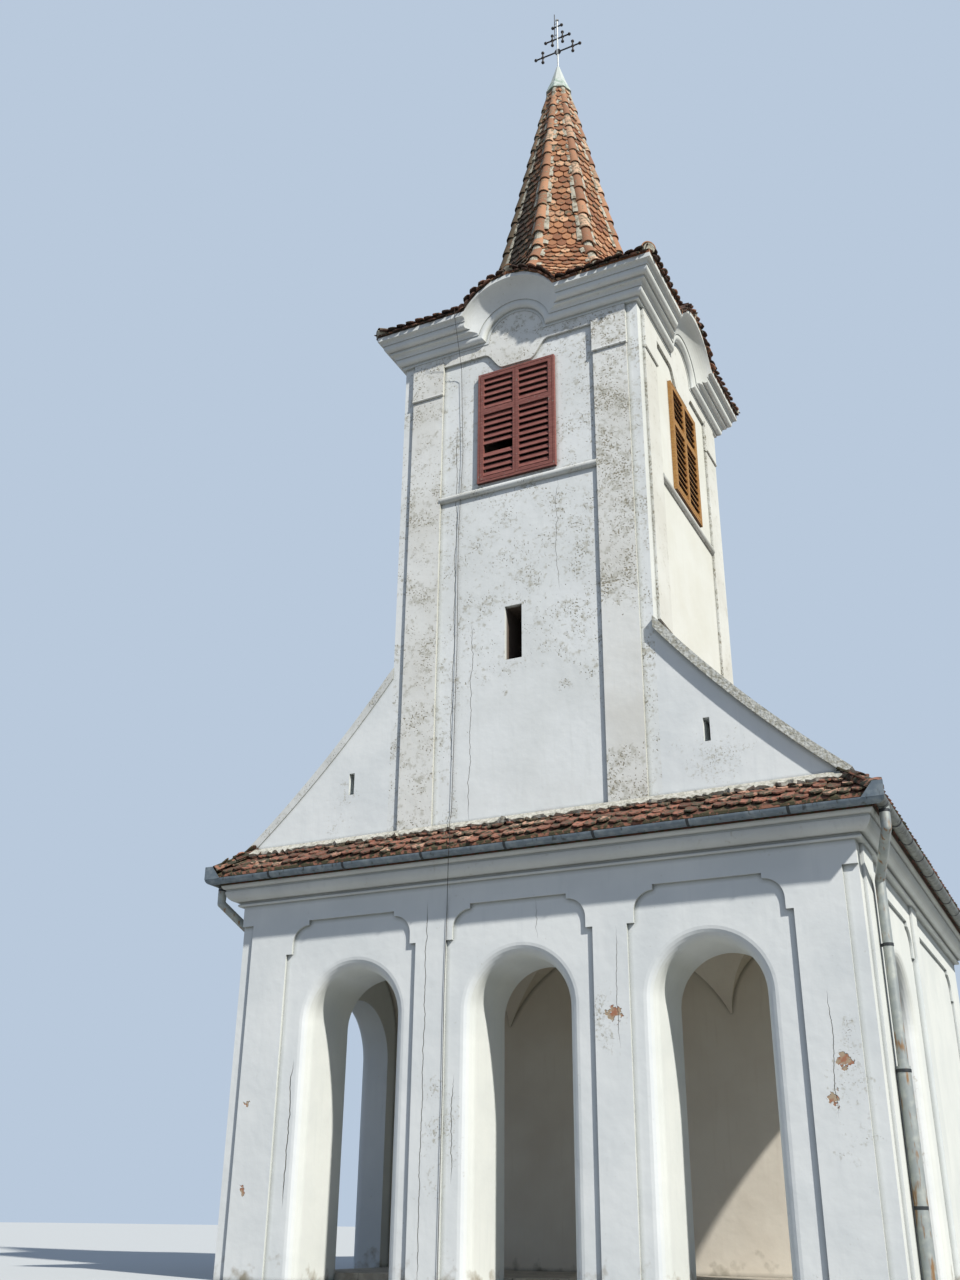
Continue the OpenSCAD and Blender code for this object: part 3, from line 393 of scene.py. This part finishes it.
def porch_wear(material, place):
    """The wash has gone round the small windows of the wings and low on the porch's strips."""
    parts = rough_parts(material, place, [
        (2.95, 6.62, 0.6, 0.5), (-3.05, 6.55, 0.35, 0.5), (2.45, 8.7, 0.3, 0.2),
        (-1.15, 1.9, 0.3, 0.9), (1.3, 3.2, 0.25, 0.5), (4.3, 2.2, 0.3, 0.9)])
    return add(material, "Math", {0: parts, 1: 0.15}, operation="MULTIPLY").outputs[0]


# A crack has an axis, a place along it, how far it wanders, its width, and its lower and upper end.
# A hole in the plaster has a middle and a reach
limewash = washed_plaster(
    "limewash", "#eff4f6", "#e5ebee", "#b9b7ad", wear=-0.13, wear_more=porch_wear,
    cracks=[(0, -1.44, 0.10, 0.008, 0.0, 5.0), (0, 1.45, 0.10, 0.005, 2.8, 4.4),
            (0, 4.15, 0.10, 0.006, 1.9, 3.4), (0, -3.62, 0.10, 0.012, 0.9, 2.9),
            (0, -0.98, 0.12, 0.008, 1.2, 2.6), (0, 0.30, 0.2, 0.005, 4.3, 4.9)],
    spots=[((1.38, FRONT_Y, 3.25), 0.24), ((4.28, FRONT_Y, 2.55), 0.22), ((4.10, FRONT_Y, 2.15), 0.20),
           ((-4.35, FRONT_Y, 2.3), 0.13), ((-4.30, FRONT_Y, 1.15), 0.15)])
side_limewash = washed_plaster("limewash_weather_side", "#f0f3f1", "#eaece7", "#c3c1b8", wear=-0.14,
                               half=TOWER_HALF)
ROUGHCAST_PIT = 0.035  # the pits are 15 to 30 mm wide, and drawn wider so that they still show
tower_roughcast = washed_plaster(
    "roughcast", "#eff4f6", "#e5eaeb", "#a8a69b", wear=0.032, pit=ROUGHCAST_PIT, wear_more=front_wear,
    half=TOWER_HALF, cracks=[(0, -1.12, 0.10, 0.007, 7.0, 13.2), (0, -0.80, 0.12, 0.006, 6.1, 9.4),
                             (0, 0.7, 0.2, 0.004, 9.6, 11.7)])
strip_roughcast = washed_plaster("roughcast_strips", "#eef1f0", "#e2e3df", "#a19c8d", wear=0.055,
                                 pit=ROUGHCAST_PIT, wear_more=strip_wear)
room_limewash = washed_plaster("indoor_limewash", "#e6e0d4", "#dcd4c7", "#b7afa0", wear=-0.16)
moulded_plaster = washed_plaster("moulded_plaster", "#ecf1f2", "#dfe4e6", "#a9aaa6", wear=-0.10)
sill_plaster = washed_plaster("sill_plaster", "#e4e8e8", "#cfd2d0", "#85857e", wear=0.03)

# Floor slabs of grey sandstone, 0.4 by 0.6 m, worn and with sunk dark joints
floor_stone, stone_shader, stone_place = finish("floor_stone", 0.8)
slabs = add(floor_stone, "TexBrick", {"Vector": stone_place, "Color1": "#a39d92", "Color2": "#8f897e",
                                      "Mortar": "#5f5b53", "Scale": 1.0, "Mortar Size": 0.008,
                                      "Brick Width": 0.6, "Row Height": 0.4})
stone_colour, stone_wear = patches(floor_stone, stone_place, 0.15, 0.4, 0.7, slabs.outputs[0], "#b5afa4")
relief(floor_stone, stone_shader, [(slabs.outputs["Fac"], -0.004), (stone_wear, 0.002)])
paint(floor_stone, stone_shader, stone_colour)


def shady_moss(material, place):
    """Moss grows on the left, away from the sun, where clay() also darkens the tiles with painted shade."""
    return zone(material, place, 0, 0.0, -0.5, 0.20)


def eave_moss(material, place):
    """Moss is thick on the low roofs."""
    return zone(material, place, 2, 9.5, 5.6, 0.08)


spire_tile = clay("spire_tile", "#ae7c58", "#80523a", "#cfa482", "#5f5a48", shady_moss, 5.0)
old_roof_tile = clay("old_roof_tile", "#85584a", "#5c3c32", "#a06f5a", "#47432f", eave_moss)
skirt_tile = clay("skirt_tile", "#9f6c5a", "#5d3f33", "#c49c86", "#4f4a3b", eave_moss)
eave_tile = clay("mossy_eave_tile", "#5c3f34", "#30231d", "#8b6452", "#35352a", eave_moss)
hip_tile = clay("hip_tile", "#b58666", "#8b6149", "#cdab90", "#857a63", shady_moss, 4.0)
hip_mortar = mortar("hip_mortar", "#bab4a3", "#777060", 0.06)
coping_mortar = mortar("coping_mortar", "#d3d6d2", "#8f8f86", -0.04, "#4d443c")
skirt_mortar = mortar("skirt_mortar", "#c9c8c0", "#85837a", 0.0)
zinc = weathered_zinc("front_zinc", "#6f7b85", "#8c969c", "#4f5658", 0.0, straps=(0, 0.0, 1.33))
side_zinc = weathered_zinc("side_zinc", "#6b6d68", "#858a83", "#4f5048", 0.03, straps=(1, -1.48, 0.95))
pipe_zinc = weathered_zinc("pipe_zinc", "#9aa1a1", "#b4b8b2", "#8f7150", 0.02, straps=(2, 2.4775, 1.51))
red_shutter = painted_wood("red_shutter", "#7f4b44", "#98635a", "#948a82")
ochre_shutter = painted_wood("ochre_shutter", "#986b35", "#b58d4f", "#86765c")

# The mortar cap, washed white, with the green of the copper sheet that once covered its foot
cap_mortar, cap_shader, cap_place = finish("cap_mortar", 0.85)
cap_low = zone(cap_mortar, cap_place, 2, 23.45, 22.9, 0.24)
cap_colour, cap_stain = patches(cap_mortar, cap_place, 0.11, 0.62, 0.86, "#c6cecb", "#8ca495", more=cap_low)
relief(cap_mortar, cap_shader, [(cap_stain, 0.004)])
paint(cap_mortar, cap_shader, cap_colour)

# Wrought iron, blackened, and silver paint on its stem
iron, iron_shader, iron_place = finish("iron", 0.55)
iron_shader.inputs["Metallic"].default_value = 0.5
stem_off = add(iron, "SeparateXYZ", {0: iron_place}).outputs[0]
stem_off = add(iron, "Math", {0: stem_off}, operation="ABSOLUTE").outputs[0]
stem_share = add(iron, "MapRange", {0: stem_off, 1: 0.022, 2: 0.018}).outputs[0]
iron_black, iron_rust = patches(iron, iron_place, 0.03, 0.5, 0.7, "#2b2a29", "#4b3a30")
iron_colour = add(iron, "Mix", {0: stem_share, 6: iron_black, 7: "#b9bdbd"}, data_type="RGBA").outputs[2]
relief(iron, iron_shader, [(iron_rust, 0.001)])
paint(iron, iron_shader, iron_colour)

# What each node is made of. The rest is moulded plaster on the cornices, and limewash
finish_of = {
    "porch_floor": floor_stone, "porch_vault": room_limewash, "porch_back_wall": room_limewash,
    "tower_front_wall": tower_roughcast, "tower_pilasters": strip_roughcast, "belfry_sills": sill_plaster,
    "tower_right_wall": side_limewash, "tower_back_wall": side_limewash, "tower_left_wall": tower_roughcast,
    "spire_foot": spire_tile, "spire_shaft": spire_tile, "spire_hips": hip_mortar, "spire_cap": cap_mortar,
    "cross": iron, "eave_skirt": old_roof_tile, "nave_roof_left": old_roof_tile,
    "nave_roof_right": old_roof_tile, "nave_ridge": old_roof_tile, "left_coping": sill_plaster,
    "right_coping": coping_mortar, "gutter_front": zinc, "gutter_sides": side_zinc, "downpipes": pipe_zinc,
    "front_shutter": red_shutter, "back_shutter": red_shutter, "left_shutter": ochre_shutter,
    "right_shutter": ochre_shutter}
for name, node in nodes.items():
    material = finish_of.get(name, moulded_plaster if "cornice" in name else limewash)
    if not node.material_slots:
        node.data.materials.append(material)
    for slot in node.material_slots:
        slot.link = "OBJECT"
        slot.material = material

# Shapes that repeat

TILE_W = 0.18  # a flat clay tile's width
TILE_L = 0.37  # its length, with the half that the next two courses cover
TILE_T = 0.021
TILE_POINT = 0.012  # how far the point of its round end stands out of the round
COURSE = 0.18  # what shows of each course
HIP_L = 0.50  # a half-round hip tile's length
HIP_R = 0.134  # its radius at the lower end
HIP_T = 0.014
HIP_STEP = 0.43  # what shows of it
LEAST_CUT = 0.03  # a narrower slip of tile isn't laid


def choose(piece, test):
    """Selects, in edit mode, the corners of a piece whose place passes a test."""
    bpy.ops.object.mode_set(mode="OBJECT")
    piece.data.polygons.foreach_set("select", [False] * len(piece.data.polygons))
    piece.data.edges.foreach_set("select", [False] * len(piece.data.edges))
    piece.data.vertices.foreach_set("select", [test(v.co) for v in piece.data.vertices])
    bpy.ops.object.mode_set(mode="EDIT")
    bpy.ops.mesh.select_mode(type="VERT")


def start(primitive, **sizes):
    """Adds a primitive by itself, with its place in its mesh."""
    bpy.ops.object.select_all(action="DESELECT")
    primitive(**sizes)
    bpy.ops.object.transform_apply(location=True, rotation=True, scale=True)
    return bpy.context.object


def done(piece, name, material, smooth=None):
    """Names a finished piece, gives it its finish, and stands it with the building."""
    bpy.ops.object.mode_set(mode="OBJECT")
    piece.name = piece.data.name = name
    piece.data.materials.clear()
    piece.data.materials.append(material)
    if smooth:
        bpy.ops.object.select_all(action="DESELECT")
        piece.select_set(True)
        bpy.context.view_layer.objects.active = piece
        bpy.ops.object.shade_smooth_by_angle(angle=math.radians(smooth))
    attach(piece, "root")
    return piece


def lay(shape, places):
    """One piece of many copies of a shape, each with its own mesh, at these places."""
    copies = []
    for place in places:
        copy = bpy.data.objects.new("copy", shape.data.copy())
        copy.data.transform(place)
        bpy.context.scene.collection.objects.link(copy)
        copies.append(copy)
    bpy.ops.object.select_all(action="DESELECT")
    for copy in copies:
        copy.select_set(True)
    bpy.context.view_layer.objects.active = copies[0]
    if len(copies) > 1:
        bpy.ops.object.join()
    return bpy.context.view_layer.objects.active


def seat(point, up, out, wide=1.0, lift=0.0, lean=0.0, turn=0.0):
    """A place with its origin at a point, Y up the slope and Z out. The lower end lifts off the slope and
    leans back to it, and the tile may lie a little askew."""
    y = Vector(up).normalized()
    x = y.cross(Vector(out)).normalized()
    z = x.cross(y)
    place = Matrix((x * wide, y, z)).transposed().to_4x4()
    place.translation = Vector(point) + z * lift
    return place @ Matrix.Rotation(-lean, 4, "X") @ Matrix.Rotation(turn, 4, "Z")


def course(stations, shift, unevenness=1.0, drop=0.0, lift=2.6 * TILE_T):
    """Places for one course of tiles along a line of (point, way up, way out). Half a tile starts each
    other course, and the tiles at the ends are cut to fit."""
    reach = [0.0]
    for a, b in zip(stations, stations[1:]):
        reach.append(reach[-1] + (b[0] - a[0]).length)
    places = []
    left = -TILE_W * (shift % 1)
    while left < reach[-1] - LEAST_CUT:
        low, high = max(left, 0.0), min(left + TILE_W, reach[-1])
        left += TILE_W
        if high - low < LEAST_CUT:
            continue
        middle = (low + high) / 2
        k = max(i for i in range(len(reach) - 1) if reach[i] <= middle)
        share = (middle - reach[k]) / (reach[k + 1] - reach[k])
        point, up, out = (a.lerp(b, share) for a, b in zip(stations[k], stations[k + 1]))
        point = point - up.normalized() * (drop + random.gauss(0, 0.005) * unevenness)
        places.append(seat(point, up, out, (high - low) / TILE_W * 0.98,
                           lift + random.gauss(0, 0.0015) * unevenness, lift / TILE_L,
                           random.gauss(0, 0.018) * unevenness))
    return places


# A flat tile with a pointed round lower end, cut from a disc whose upper half moves up the roof
tile = start(bpy.ops.mesh.primitive_cylinder_add, vertices=12, radius=TILE_W / 2, depth=TILE_T,
             location=(0, TILE_W / 2, TILE_T / 2))
choose(tile, lambda p: p.y > TILE_W / 2 + 0.01)
bpy.ops.transform.translate(value=(0, TILE_L - TILE_W, 0))
choose(tile, lambda p: p.y < 0.001)
bpy.ops.transform.translate(value=(0, -TILE_POINT, 0))
bpy.ops.object.mode_set(mode="OBJECT")

# A half-round hip tile, narrower at its upper end
hip_shape = start(bpy.ops.mesh.primitive_cylinder_add, vertices=18, radius=HIP_R, depth=HIP_L,
                  end_fill_type="NOTHING", rotation=(math.pi / 2, 0, 0), location=(0, HIP_L / 2, 0))
choose(hip_shape, lambda p: p.z < 0.02)
bpy.ops.mesh.delete(type="VERT")
choose(hip_shape, lambda p: p.y > HIP_L / 2)
bpy.ops.transform.resize(value=(0.84, 1, 0.84), center_override=(0, HIP_L, 0))
bpy.ops.mesh.select_all(action="SELECT")
bpy.ops.mesh.normals_make_consistent(inside=False)
bpy.ops.object.mode_set(mode="OBJECT")
bpy.ops.object.modifier_add(type="SOLIDIFY")
hip_shape.modifiers[0].thickness = HIP_T
hip_shape.modifiers[0].offset = -1
bpy.ops.object.modifier_apply(modifier=hip_shape.modifiers[0].name)

# Spire

shaft_foot, shaft_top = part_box("spire_shaft")
SHAFT_R = shaft_top[0]
SHAFT_Z = shaft_foot[2]
SHAFT_TOP_Z = shaft_top[2]
SHAFT_TOP_R = 0.19
EAVE_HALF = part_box("spire_foot")[1][0]
CORNICE_TOP_Z = 15.33
BUMP_HALF = 0.85  # half the width of the cornice's rise over its round arch
BUMP_RISE = 0.52
BUMP_R = (BUMP_HALF ** 2 + BUMP_RISE ** 2) / (2 * BUMP_RISE)
PULL_R = SHAFT_R + 0.32 * (EAVE_HALF - SHAFT_R)  # where the foot's curve is pulled to
PULL_Z = 16.196
CORNER_PULL_R = PULL_R + 0.05  # the pull is further out and lower at the corners
CORNER_PULL_DROP = 0.25
BASE_T = 0.07  # the roof's base, over the cornice's top
EAVE_REACH = 2.68  # how far the lowest tiles reach from the tower's axis
COLUMNS = 8  # flat strips of the foot in half a side
ROW_PARTS = 16  # stations along half a side's row of tiles, less one
FOOT_PARTS = 200  # steps down the foot's corner, to measure it by
HIP_PARTS = 60  # straight parts of a hip's line on the foot
HIP_SHRINK = 0.38  # by how much of their width the hip tiles are smaller at the top
HIP_UNDER_CAP = 0.08  # how far the topmost may reach under the cap


def eave_edge_z(x):
    """Height of the roof's edge along one side of the tower."""
    if abs(x) >= BUMP_HALF:
        return CORNICE_TOP_Z
    return CORNICE_TOP_Z + BUMP_RISE - BUMP_R + math.sqrt(BUMP_R * BUMP_R - x * x)


def foot_column(i, t, side):
    """A point on the line between two flat strips of the foot in front."""
    a = abs(i) / COLUMNS
    c = math.sqrt(0.5) * a * side
    p = Vector((SHAFT_R * c, -SHAFT_R * (1 - a + abs(c)), SHAFT_Z))
    q = Vector((CORNER_PULL_R * c, -PULL_R * (1 - a) - CORNER_PULL_R * abs(c),
                PULL_Z - CORNER_PULL_DROP * a))
    x = BUMP_HALF * math.sin(math.pi * min(a, 0.5)) + (EAVE_HALF - BUMP_HALF) * max(0.0, 2 * a - 1)
    s = Vector((side * x, -EAVE_HALF, eave_edge_z(x) + BASE_T))
    return (1 - t) ** 2 * p + 2 * t * (1 - t) * q + t * t * s


def foot_point(v, t):
    """A point on the spire's foot in front: v runs from -1 to 1 along the side, t from the shaft to 1."""
    at = abs(v) * COLUMNS
    i = min(int(at), COLUMNS - 1)
    side = math.copysign(1, v)
    return foot_column(i, t, side).lerp(foot_column(i + 1, t, side), at - i)


def foot_station(v, t):
    """A point on the foot with the way up the slope and the way out of it."""
    step = 0.01
    up = (foot_point(v, t - step) - foot_point(v, t + step)).normalized()
    inward = v - step if v > 0 else v + step
    along = foot_point(max(v, inward), t) - foot_point(min(v, inward), t)
    return foot_point(v, t), up, along.cross(up).normalized()


def foot_turned(station, k):
    """A station moved round the tower from the front to side k."""
    turn = Matrix.Rotation(math.radians(90 * k), 3, "Z")
    return tuple(turn @ part for part in station)


def held_back(places):
    """The eaves' tiles, none of them further out than the gutter under the porch's roof."""
    kept = []
    for place in places:
        tails = [place @ Vector((x, y, z)) for z in (0, TILE_T)
                 for x, y in ((0, -TILE_POINT), (TILE_W / 2, 0.06), (-TILE_W / 2, 0.06))]
        excess = max(abs(part) for tail in tails for part in tail[:2]) - EAVE_REACH
        kept.append(place @ Matrix.Translation((0, max(0.0, 1.1 * excess), 0)))
    return kept


# Courses up the foot are as far apart as the longest slope, at the corners, allows
corner_line = [foot_point(1.0, 1 - i / FOOT_PARTS) for i in range(FOOT_PARTS + 1)]
course_ts = []
walked = 0.0
for i in range(FOOT_PARTS):
    if walked >= COURSE * 1.02 * len(course_ts):
        course_ts.append(1 - i / FOOT_PARTS)
    walked += (corner_line[i + 1] - corner_line[i]).length

foot_places = []
eave_places = []
for row, t in enumerate(course_ts):
    for k in range(4):
        for half in (-1, 1):
            # The row stops just short of the hips' middle lines
            line = [foot_turned(foot_station(half * (0.01 + 0.98 * i / ROW_PARTS), t), k)
                    for i in range(ROW_PARTS + 1)]
            if half < 0:
                line.reverse()
            if row == 0:
                # Two layers of tiles hang over the cornice, the upper one further, and uneven
                eave_places += held_back(course(line, 0.0, 4.5, drop=0.09, lift=0.044))
                eave_places += held_back(course(line, 0.5, 3.5, drop=0.06, lift=-0.035))
            elif row == 1:
                eave_places += course(line, 0.5, 2.5)
            else:
                foot_places += course(line, row / 2, 1.4)
done(lay(tile, eave_places), "spire_eave_tiles", eave_tile)
done(lay(tile, foot_places), "spire_foot_tiles", spire_tile)

# The shaft has eight flat faces. Its hips are at every eighth of a turn from +X
shaft_places = []
slope = Vector((SHAFT_TOP_R - SHAFT_R, 0, SHAFT_TOP_Z - SHAFT_Z))
rows = int(slope.length / COURSE)
for k in range(8):
    ends = [Matrix.Rotation(math.radians(45 * (k + end)), 3, "Z") for end in (0, 1)]
    for row in range(rows):
        share = row * COURSE / slope.length
        radius = SHAFT_R + share * (SHAFT_TOP_R - SHAFT_R)
        corners = [turn @ Vector((radius, 0, SHAFT_Z + share * slope.z)) for turn in ends]
        tops = [turn @ Vector((SHAFT_TOP_R, 0, SHAFT_TOP_Z)) for turn in ends]
        up = ((tops[0] + tops[1]) / 2 - (corners[0] + corners[1]) / 2).normalized()
        out = (corners[1] - corners[0]).cross(up)
        line = [(corner, up, out) for corner in corners]
        shaft_places += course(line, row / 2 + (0.3 if k % 2 else 0.0), 1.3)
done(lay(tile, shaft_places), "spire_shaft_tiles", spire_tile)

# Hip tiles run from the eaves to the cap, each one's lower end over the one below
hip_places = []
for k in range(8):
    over_corner = k % 2 == 1
    turn = Matrix.Rotation(math.radians(45 * k + (45 if over_corner else 90)), 3, "Z")
    line = [turn @ foot_point(-1.0 if over_corner else 0.0, 1 - i / HIP_PARTS) for i in range(HIP_PARTS)]
    line += [turn @ Matrix.Rotation(math.radians(-135 if over_corner else -90), 3, "Z") @ Vector((r, 0, z))
             for r, z in ((SHAFT_R, SHAFT_Z), (SHAFT_TOP_R, SHAFT_TOP_Z))]
    walked = 0.0
    place_next = 0.02
    for a, b in zip(line, line[1:]):
        length = (b - a).length
        up = (b - a) / length
        out = Vector((a.x, a.y, 0)).normalized()
        while place_next < walked + length - (HIP_L - HIP_UNDER_CAP if b.z == SHAFT_TOP_Z else 0):
            point = a + up * (place_next - walked)
            height = (point.z - SHAFT_Z) / (SHAFT_TOP_Z - SHAFT_Z)
            size = 1.0 - HIP_SHRINK * max(0.0, height)
            place = seat(point, up, out, lift=0.008, lean=0.05, turn=random.gauss(0, 0.015))
            hip_places.append(place @ Matrix.Diagonal((size, 1, size, 1)))
            place_next += HIP_STEP + random.gauss(0, 0.006)
        walked += length
done(lay(hip_shape, hip_places), "spire_hip_tiles", hip_tile, 40)

# Mortar squeezed out to both sides of the hip tiles, in dabs of uneven width
dab_places = [place @ Matrix.Translation((random.gauss(0, 0.006), 0.08, -0.004))
              @ Matrix.Diagonal((1.45 + random.gauss(0, 0.08), 1.0, 0.55, 1)) for place in hip_places]
done(lay(hip_shape, dab_places), "spire_hip_mortar", hip_mortar, 40)

# Porch and nave roofs

ROOF_END_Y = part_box("nave_roof_right")[1][1]
slope_step = COURSE / math.hypot(1, PITCH)  # how far in each course comes


def sagging(x, y):
    """The old roof's edge sags between its rafters, by up to 20 mm."""
    return 0.010 * math.sin(1.9 * x + 0.7) + 0.010 * math.sin(3.1 * y)


# Courses up the nave's roofs, from the front mitre or the wing's back, and behind the tower
for side, name in ((-1, "nave_tiles_left"), (1, "nave_tiles_right")):
    up = Vector((-side, 0, PITCH)).normalized()
    out = Vector((side * PITCH, 0, 1)).normalized()
    places = []
    row = 0
    x = PORCH_HALF + EAVE_OUT - 0.02
    while x > 0.10:
        first = WING_BACK_Y
        if x > PORCH_HALF:
            first = FRONT_Y - (x - PORCH_HALF)
        elif x < TOWER_HALF + 0.06:
            first = TOWER_HALF
        z = EAVE_Z + (PORCH_HALF + EAVE_OUT - x) * PITCH
        line = [(Vector((side * x, y, z)), up, out) for y in (first, ROOF_END_Y - 0.02)]
        if side < 0:
            line.reverse()
        places += course(line, row / 2, 1.6, drop=0.015 if row == 0 else 0.0)
        row += 1
        x -= slope_step
    done(lay(tile, places), name, old_roof_tile)

# Four uneven courses on the skirt in front, with a first layer under the lowest
SKIRT_PARTS = 24  # straight parts of a course's line
places = []
up = Vector((0, 1, PITCH)).normalized()
out = Vector((0, -PITCH, 1)).normalized()
for row in range(4):
    inward = row * slope_step
    y = FRONT_Y - EAVE_OUT + 0.05 + inward
    reach = PORCH_HALF + EAVE_OUT - inward
    line = []
    for i in range(SKIRT_PARTS + 1):
        x = reach * (2 * i / SKIRT_PARTS - 1)
        sag = sagging(x, y) if 0 < i < SKIRT_PARTS else 0
        line.append((Vector((x, y, EAVE_Z + inward * PITCH + sag)), up, out))
    places += course(line, row / 2, 5.0, lift=3.3 * TILE_T)
    if row == 0:
        places += course(line, 0.5, 3.0, lift=0.008)
done(lay(tile, places), "skirt_tiles", skirt_tile)

# Half-round tiles over the mitres at the front corners, and along the ridge
CORNER_IN = 0.06  # how far in from the eaves' corner the lower of its two tiles starts
CORNER_STEP = 0.21  # and how far in from there the upper one
places = []
for side in (-1, 1):
    for i in range(2):
        point = Vector((side * (PORCH_HALF + EAVE_OUT - CORNER_IN - CORNER_STEP * i),
                        FRONT_Y - EAVE_OUT + CORNER_IN + CORNER_STEP * i,
                        EAVE_Z + 0.02 + CORNER_STEP * i * PITCH))
        places.append(seat(point, (-side, 1, PITCH), (side, -1, 1), lift=0.02, lean=0.05))
done(lay(hip_shape, places), "corner_hip_tiles", eave_tile, 40)

RIDGE_WIDER, RIDGE_HIGHER = 1.38, 1.22  # the ridge's tiles beside the hips'
places = []
ridge_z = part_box("nave_ridge")[1][2]
y = TOWER_HALF + 0.01
while y < ROOF_END_Y - HIP_L:
    place = seat((random.gauss(0, 0.004), y, ridge_z - 0.10), (0, 1, 0), (0, 0, 1), lift=0.012, lean=0.04,
                 turn=random.gauss(0, 0.012))
    places.append(place @ Matrix.Diagonal((RIDGE_WIDER, 1, RIDGE_HIGHER, 1)))
    y += HIP_STEP
done(lay(hip_shape, places), "ridge_tiles", old_roof_tile, 40)

for shape in (tile, hip_shape):
    bpy.data.objects.remove(shape)

# Mortar fillet, rivets and conductor

# A ragged fillet of mortar closes the gap between the skirt's tiles and the wall over them
SKIRT_TOP_Z = EAVE_Z + EAVE_OUT * PITCH
FILLET_T = 0.05
fillet = start(bpy.ops.mesh.primitive_grid_add, x_subdivisions=170, y_subdivisions=4, size=1)
fillet.data.transform(Matrix.Diagonal((2 * PORCH_HALF - 0.04, 0.12, 1, 1)))
choose(fillet, lambda p: p.y < -0.05)
bpy.ops.transform.vertex_random(offset=0.05, seed=3)
choose(fillet, lambda p: p.y < 0.0)
bpy.ops.transform.vertex_random(offset=0.014, seed=4)
bpy.ops.object.mode_set(mode="OBJECT")
fillet.data.transform(Matrix.Translation((0, FRONT_Y - 0.085, SKIRT_TOP_Z + 0.03))
                      @ Matrix.Rotation(math.atan(PITCH) + 0.10, 4, "X"))
bpy.ops.object.modifier_add(type="SOLIDIFY")
fillet.modifiers[0].thickness = FILLET_T
fillet.modifiers[0].offset = -1
bpy.ops.object.modifier_apply(modifier=fillet.modifiers[0].name)
done(fillet, "skirt_fillet", skirt_mortar, 50)

# Three rivets hold each splash plate at the gutter's corners
GUTTER_OUT = 0.49  # from the walls to the outsides of the gutters
RIVET_R = 0.011
rivet = start(bpy.ops.mesh.primitive_cylinder_add, vertices=12, radius=RIVET_R, depth=0.008,
              rotation=(math.pi / 2, 0, 0))
choose(rivet, lambda p: p.y < 0)
bpy.ops.transform.resize(value=(0.6, 1, 0.6))
bpy.ops.object.mode_set(mode="OBJECT")
corner_x, corner_y = PORCH_HALF + GUTTER_OUT, FRONT_Y - GUTTER_OUT
places = [Matrix.Translation((side * (corner_x - inward), corner_y - 0.001, height))
          for side in (-1, 1) for inward, height in ((0.03, 5.745), (0.07, 5.69), (0.15, 5.66))]
done(lay(rivet, places), "splash_rivets", iron)
bpy.data.objects.remove(rivet)

# The lightning conductor, a bare wire of 8 mm, comes from under the tower's eaves down its front, over
# the skirt and the gutter, and down the porch's front to the ground
WIRE_R = 0.004
wire_stops = [Vector(stop) for stop in (
    (-1.00, -2.60, 15.46), (-1.00, -2.655, 15.40), (-1.005, -2.655, 15.30), (-1.03, -2.28, 14.35),
    (-1.05, -2.235, 14.2), (-1.00, -2.23, 12.6), (-1.06, -2.225, 11.0), (-1.04, -2.23, 9.0),
    (-1.08, -2.225, 6.3), (-1.07, -2.30, 6.12), (-0.90, -2.60, 5.80), (-0.86, -2.688, 5.66),
    (-0.87, -2.688, 5.55), (-1.08, -2.30, 5.05), (-1.10, -2.262, 4.9), (-1.12, -2.262, 3.6),
    (-1.11, -2.265, 2.4), (-1.13, -2.262, 0.0))]
wire = start(bpy.ops.mesh.primitive_circle_add, vertices=6, radius=WIRE_R, fill_type="NGON",
             location=wire_stops[0])
bpy.ops.object.mode_set(mode="EDIT")
bpy.ops.mesh.select_all(action="SELECT")
for last, stop in zip(wire_stops, wire_stops[1:]):
    bpy.ops.mesh.extrude_region_move(TRANSFORM_OT_translate={"value": stop - last})
done(wire, "conductor", iron)
